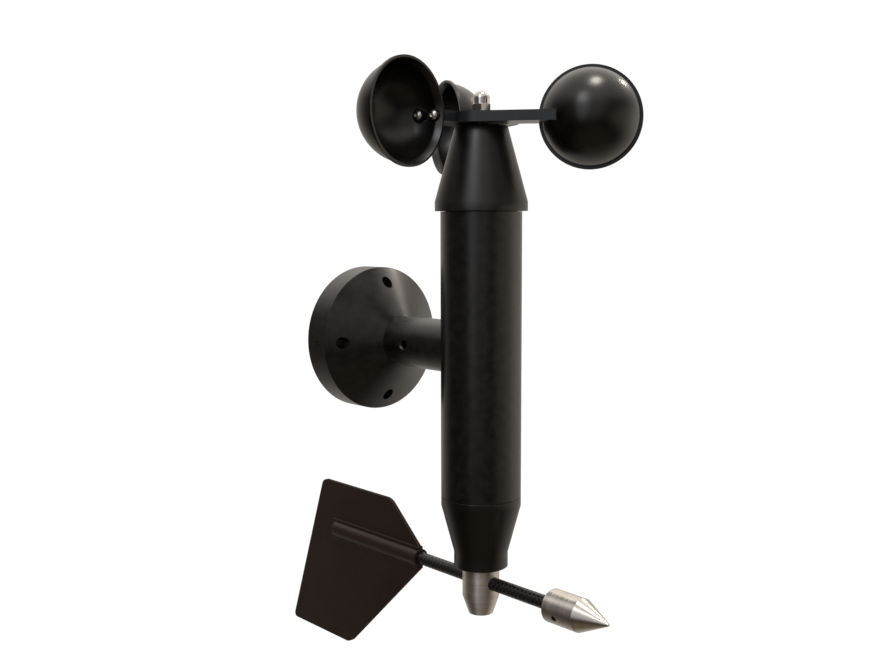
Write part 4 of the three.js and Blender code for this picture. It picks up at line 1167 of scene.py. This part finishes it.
# Name, direction (right, up, towards the camera), distance in m, width and height in m, watts, colour.
LAMPS = (
    ("ceiling_lamp", (0.150, 0.960, 0.18), 1.6, 0.46, 0.28, 10, "#fff6ec"),
    ("rear_lamp", (0.58, 0.68, -0.45), 1.8, 0.14, 0.10, 3.5, "#fff3e4"),
    ("window_panel", (-0.323, 0.649, 0.689), 1.8, 0.50, 0.60, 3.5, "#f6f7ff"),
)

# Soft regions of the room: direction, cosines where a region starts and is full, squeeze in height,
# colour, strength.
ROOM = (
    ((0.0, 1.0, 0.0), 0.33, 0.75, 1.0, "#fbf7f2", 0.85),
    ((-0.1, 0.3, 0.95), 0.72, 0.98, 1.0, "#f4f4f4", 0.40),
    ((-0.39, 0.45, 0.79), 0.94, 0.99, 0.35, "#f2f4fa", 0.85),
    ((0.98, -0.06, 0.15), 0.55, 0.97, 2.6, "#fff0dc", 0.55),
    ((0.25, 0.0, -0.97), -0.15, 0.7, 1.0, "#fff6ec", 0.55),
    ((0.0, -0.9, 0.43), 0.7, 0.95, 1.0, "#ffe2c4", 0.14),
)
ROOM_FLOOR, ROOM_WALL = "#3c342d", "#635f5b"


def add_lamps():
    centre = Vector((0, AXIS_Y * MM, 0))
    for name, direction, distance, width, height, watts, code in LAMPS:
        data = bpy.data.lights.new(name, "AREA")
        data.shape = "RECTANGLE"
        data.size, data.size_y = width, height
        data.energy = watts
        data.color = linear(code)[:3]
        lamp = bpy.data.objects.new(name, data)
        bpy.context.scene.collection.objects.link(lamp)
        towards = from_view(*direction)
        turn = towards.to_track_quat("Z", "Y").to_matrix().to_4x4()
        lamp.matrix_world = Matrix.Translation(centre + towards * distance) @ turn
        lamp.visible_camera = False


def add_room():
    """The room that the gloss reflects: dim walls and floor, a pale ceiling, a tall window."""
    world = bpy.data.worlds.new("room")
    bpy.context.scene.world = world
    world.use_nodes = True
    tree = world.node_tree
    tree.nodes.clear()
    direction = add_node(tree, "ShaderNodeTexCoord").outputs["Generated"]
    split = add_node(tree, "ShaderNodeSeparateXYZ", {0: direction}).outputs[2]
    level = add_node(tree, "ShaderNodeMapRange", {"Value": split, "From Min": -0.35, "From Max": 0.15,
                                                   "To Min": 0.0, "To Max": 1.0}).outputs[0]
    total = blended(tree, level, linear(ROOM_FLOOR), linear(ROOM_WALL))
    for towards, start, full, squeeze, code, strength in ROOM:
        aim = from_view(*towards)
        scaled = add_node(tree, "ShaderNodeVectorMath", {0: direction, 1: (1, 1, squeeze)},
                          operation="MULTIPLY").outputs[0]
        unit = add_node(tree, "ShaderNodeVectorMath", {0: scaled}, operation="NORMALIZE").outputs[0]
        aim = Vector((aim.x, aim.y, aim.z * squeeze)).normalized()
        dot = add_node(tree, "ShaderNodeVectorMath", {0: unit, 1: aim}, operation="DOT_PRODUCT")
        fade = add_node(tree, "ShaderNodeMapRange", {
            "Value": dot.outputs["Value"], "From Min": start, "From Max": full, "To Min": 0.0,
            "To Max": strength}, interpolation_type="SMOOTHSTEP").outputs[0]
        lit = add_node(tree, "ShaderNodeVectorMath", {0: linear(code)[:3], "Scale": fade},
                       operation="SCALE").outputs[0]
        total = add_node(tree, "ShaderNodeVectorMath", {0: total, 1: lit}, operation="ADD").outputs[0]
    background = add_node(tree, "ShaderNodeBackground", {"Color": total, "Strength": 1.0})
    output = add_node(tree, "ShaderNodeOutputWorld")
    tree.links.new(background.outputs[0], output.inputs["Surface"])


def add_paper():
    """White paper under and all round the object, which only the camera sees."""
    floor_radius, surround_radius, below = 4, 6, 1 * MM  # in metres
    floor, dome = bmesh.new(), bmesh.new()
    bmesh.ops.create_circle(floor, cap_ends=True, segments=ROUND_STEPS, radius=floor_radius)
    bmesh.ops.translate(floor, vec=(0, AXIS_Y * MM, cad_box[0].z - below), verts=floor.verts)
    bmesh.ops.create_icosphere(dome, subdivisions=4, radius=surround_radius)
    bmesh.ops.reverse_faces(dome, faces=dome.faces)
    for bm, name in ((floor, "paper_floor"), (dome, "paper_surround")):
        mesh = bpy.data.meshes.new(name)
        bm.to_mesh(mesh)
        bm.free()
        mesh.materials.append(finish("white_studio_paper"))
        obj = bpy.data.objects.new(name, mesh)
        bpy.context.scene.collection.objects.link(obj)
        obj.visible_diffuse = obj.visible_glossy = obj.visible_transmission = False
        obj.visible_shadow = obj.visible_volume_scatter = False


class ANEMOMETER_OT_stage(bpy.types.Operator):
    """Sets up the camera, the lamps, the room light and the white paper"""

    bl_idname = "anemometer.stage"
    bl_label = "Camera, light and stage"

    def execute(self, context):
        add_camera()
        add_lamps()
        add_room()
        add_paper()
        context.scene.view_settings.view_transform = "Standard"
        return {"FINISHED"}


# ---------------------------------------------------------------- panel and registration

PIECE_OPERATORS = (
    ANEMOMETER_OT_stage, ANEMOMETER_OT_flange, ANEMOMETER_OT_gland, ANEMOMETER_OT_arm,
    ANEMOMETER_OT_tube, ANEMOMETER_OT_heads, ANEMOMETER_OT_spider, ANEMOMETER_OT_cups,
    ANEMOMETER_OT_nut, ANEMOMETER_OT_hub, ANEMOMETER_OT_rod, ANEMOMETER_OT_weight,
    ANEMOMETER_OT_fin, ANEMOMETER_OT_inner_finishes,
)
PROPERTY_GROUPS = {
    "anemometer_body": BodySizes, "anemometer_rotor": RotorSizes, "anemometer_vane": VaneSizes,
    "anemometer_colours": Colours,
}


class ANEMOMETER_PT_panel(bpy.types.Panel):
    """Lists the sizes, the colours and the pieces"""

    bl_idname = "ANEMOMETER_PT_panel"
    bl_label = "Cup anemometer"
    bl_space_type = "VIEW_3D"
    bl_region_type = "UI"
    bl_category = "Anemometer"

    def draw(self, context):
        for name, group in PROPERTY_GROUPS.items():
            box = self.layout.box()
            for field in group.__annotations__:
                box.prop(getattr(context.scene, name), field)
        for operator in PIECE_OPERATORS:
            self.layout.operator(operator.bl_idname)


def register():
    for cls in (*PROPERTY_GROUPS.values(), *PIECE_OPERATORS, ANEMOMETER_PT_panel):
        bpy.utils.register_class(cls)
    for name, group in PROPERTY_GROUPS.items():
        setattr(bpy.types.Scene, name, PointerProperty(type=group))


def unregister():
    for name in PROPERTY_GROUPS:
        delattr(bpy.types.Scene, name)
    for cls in reversed((*PROPERTY_GROUPS.values(), *PIECE_OPERATORS, ANEMOMETER_PT_panel)):
        bpy.utils.unregister_class(cls)


def main():
    register()
    for operator in PIECE_OPERATORS:
        group, name = operator.bl_idname.split(".")
        getattr(getattr(bpy.ops, group), name)()


if __name__ == "__main__":
    main()
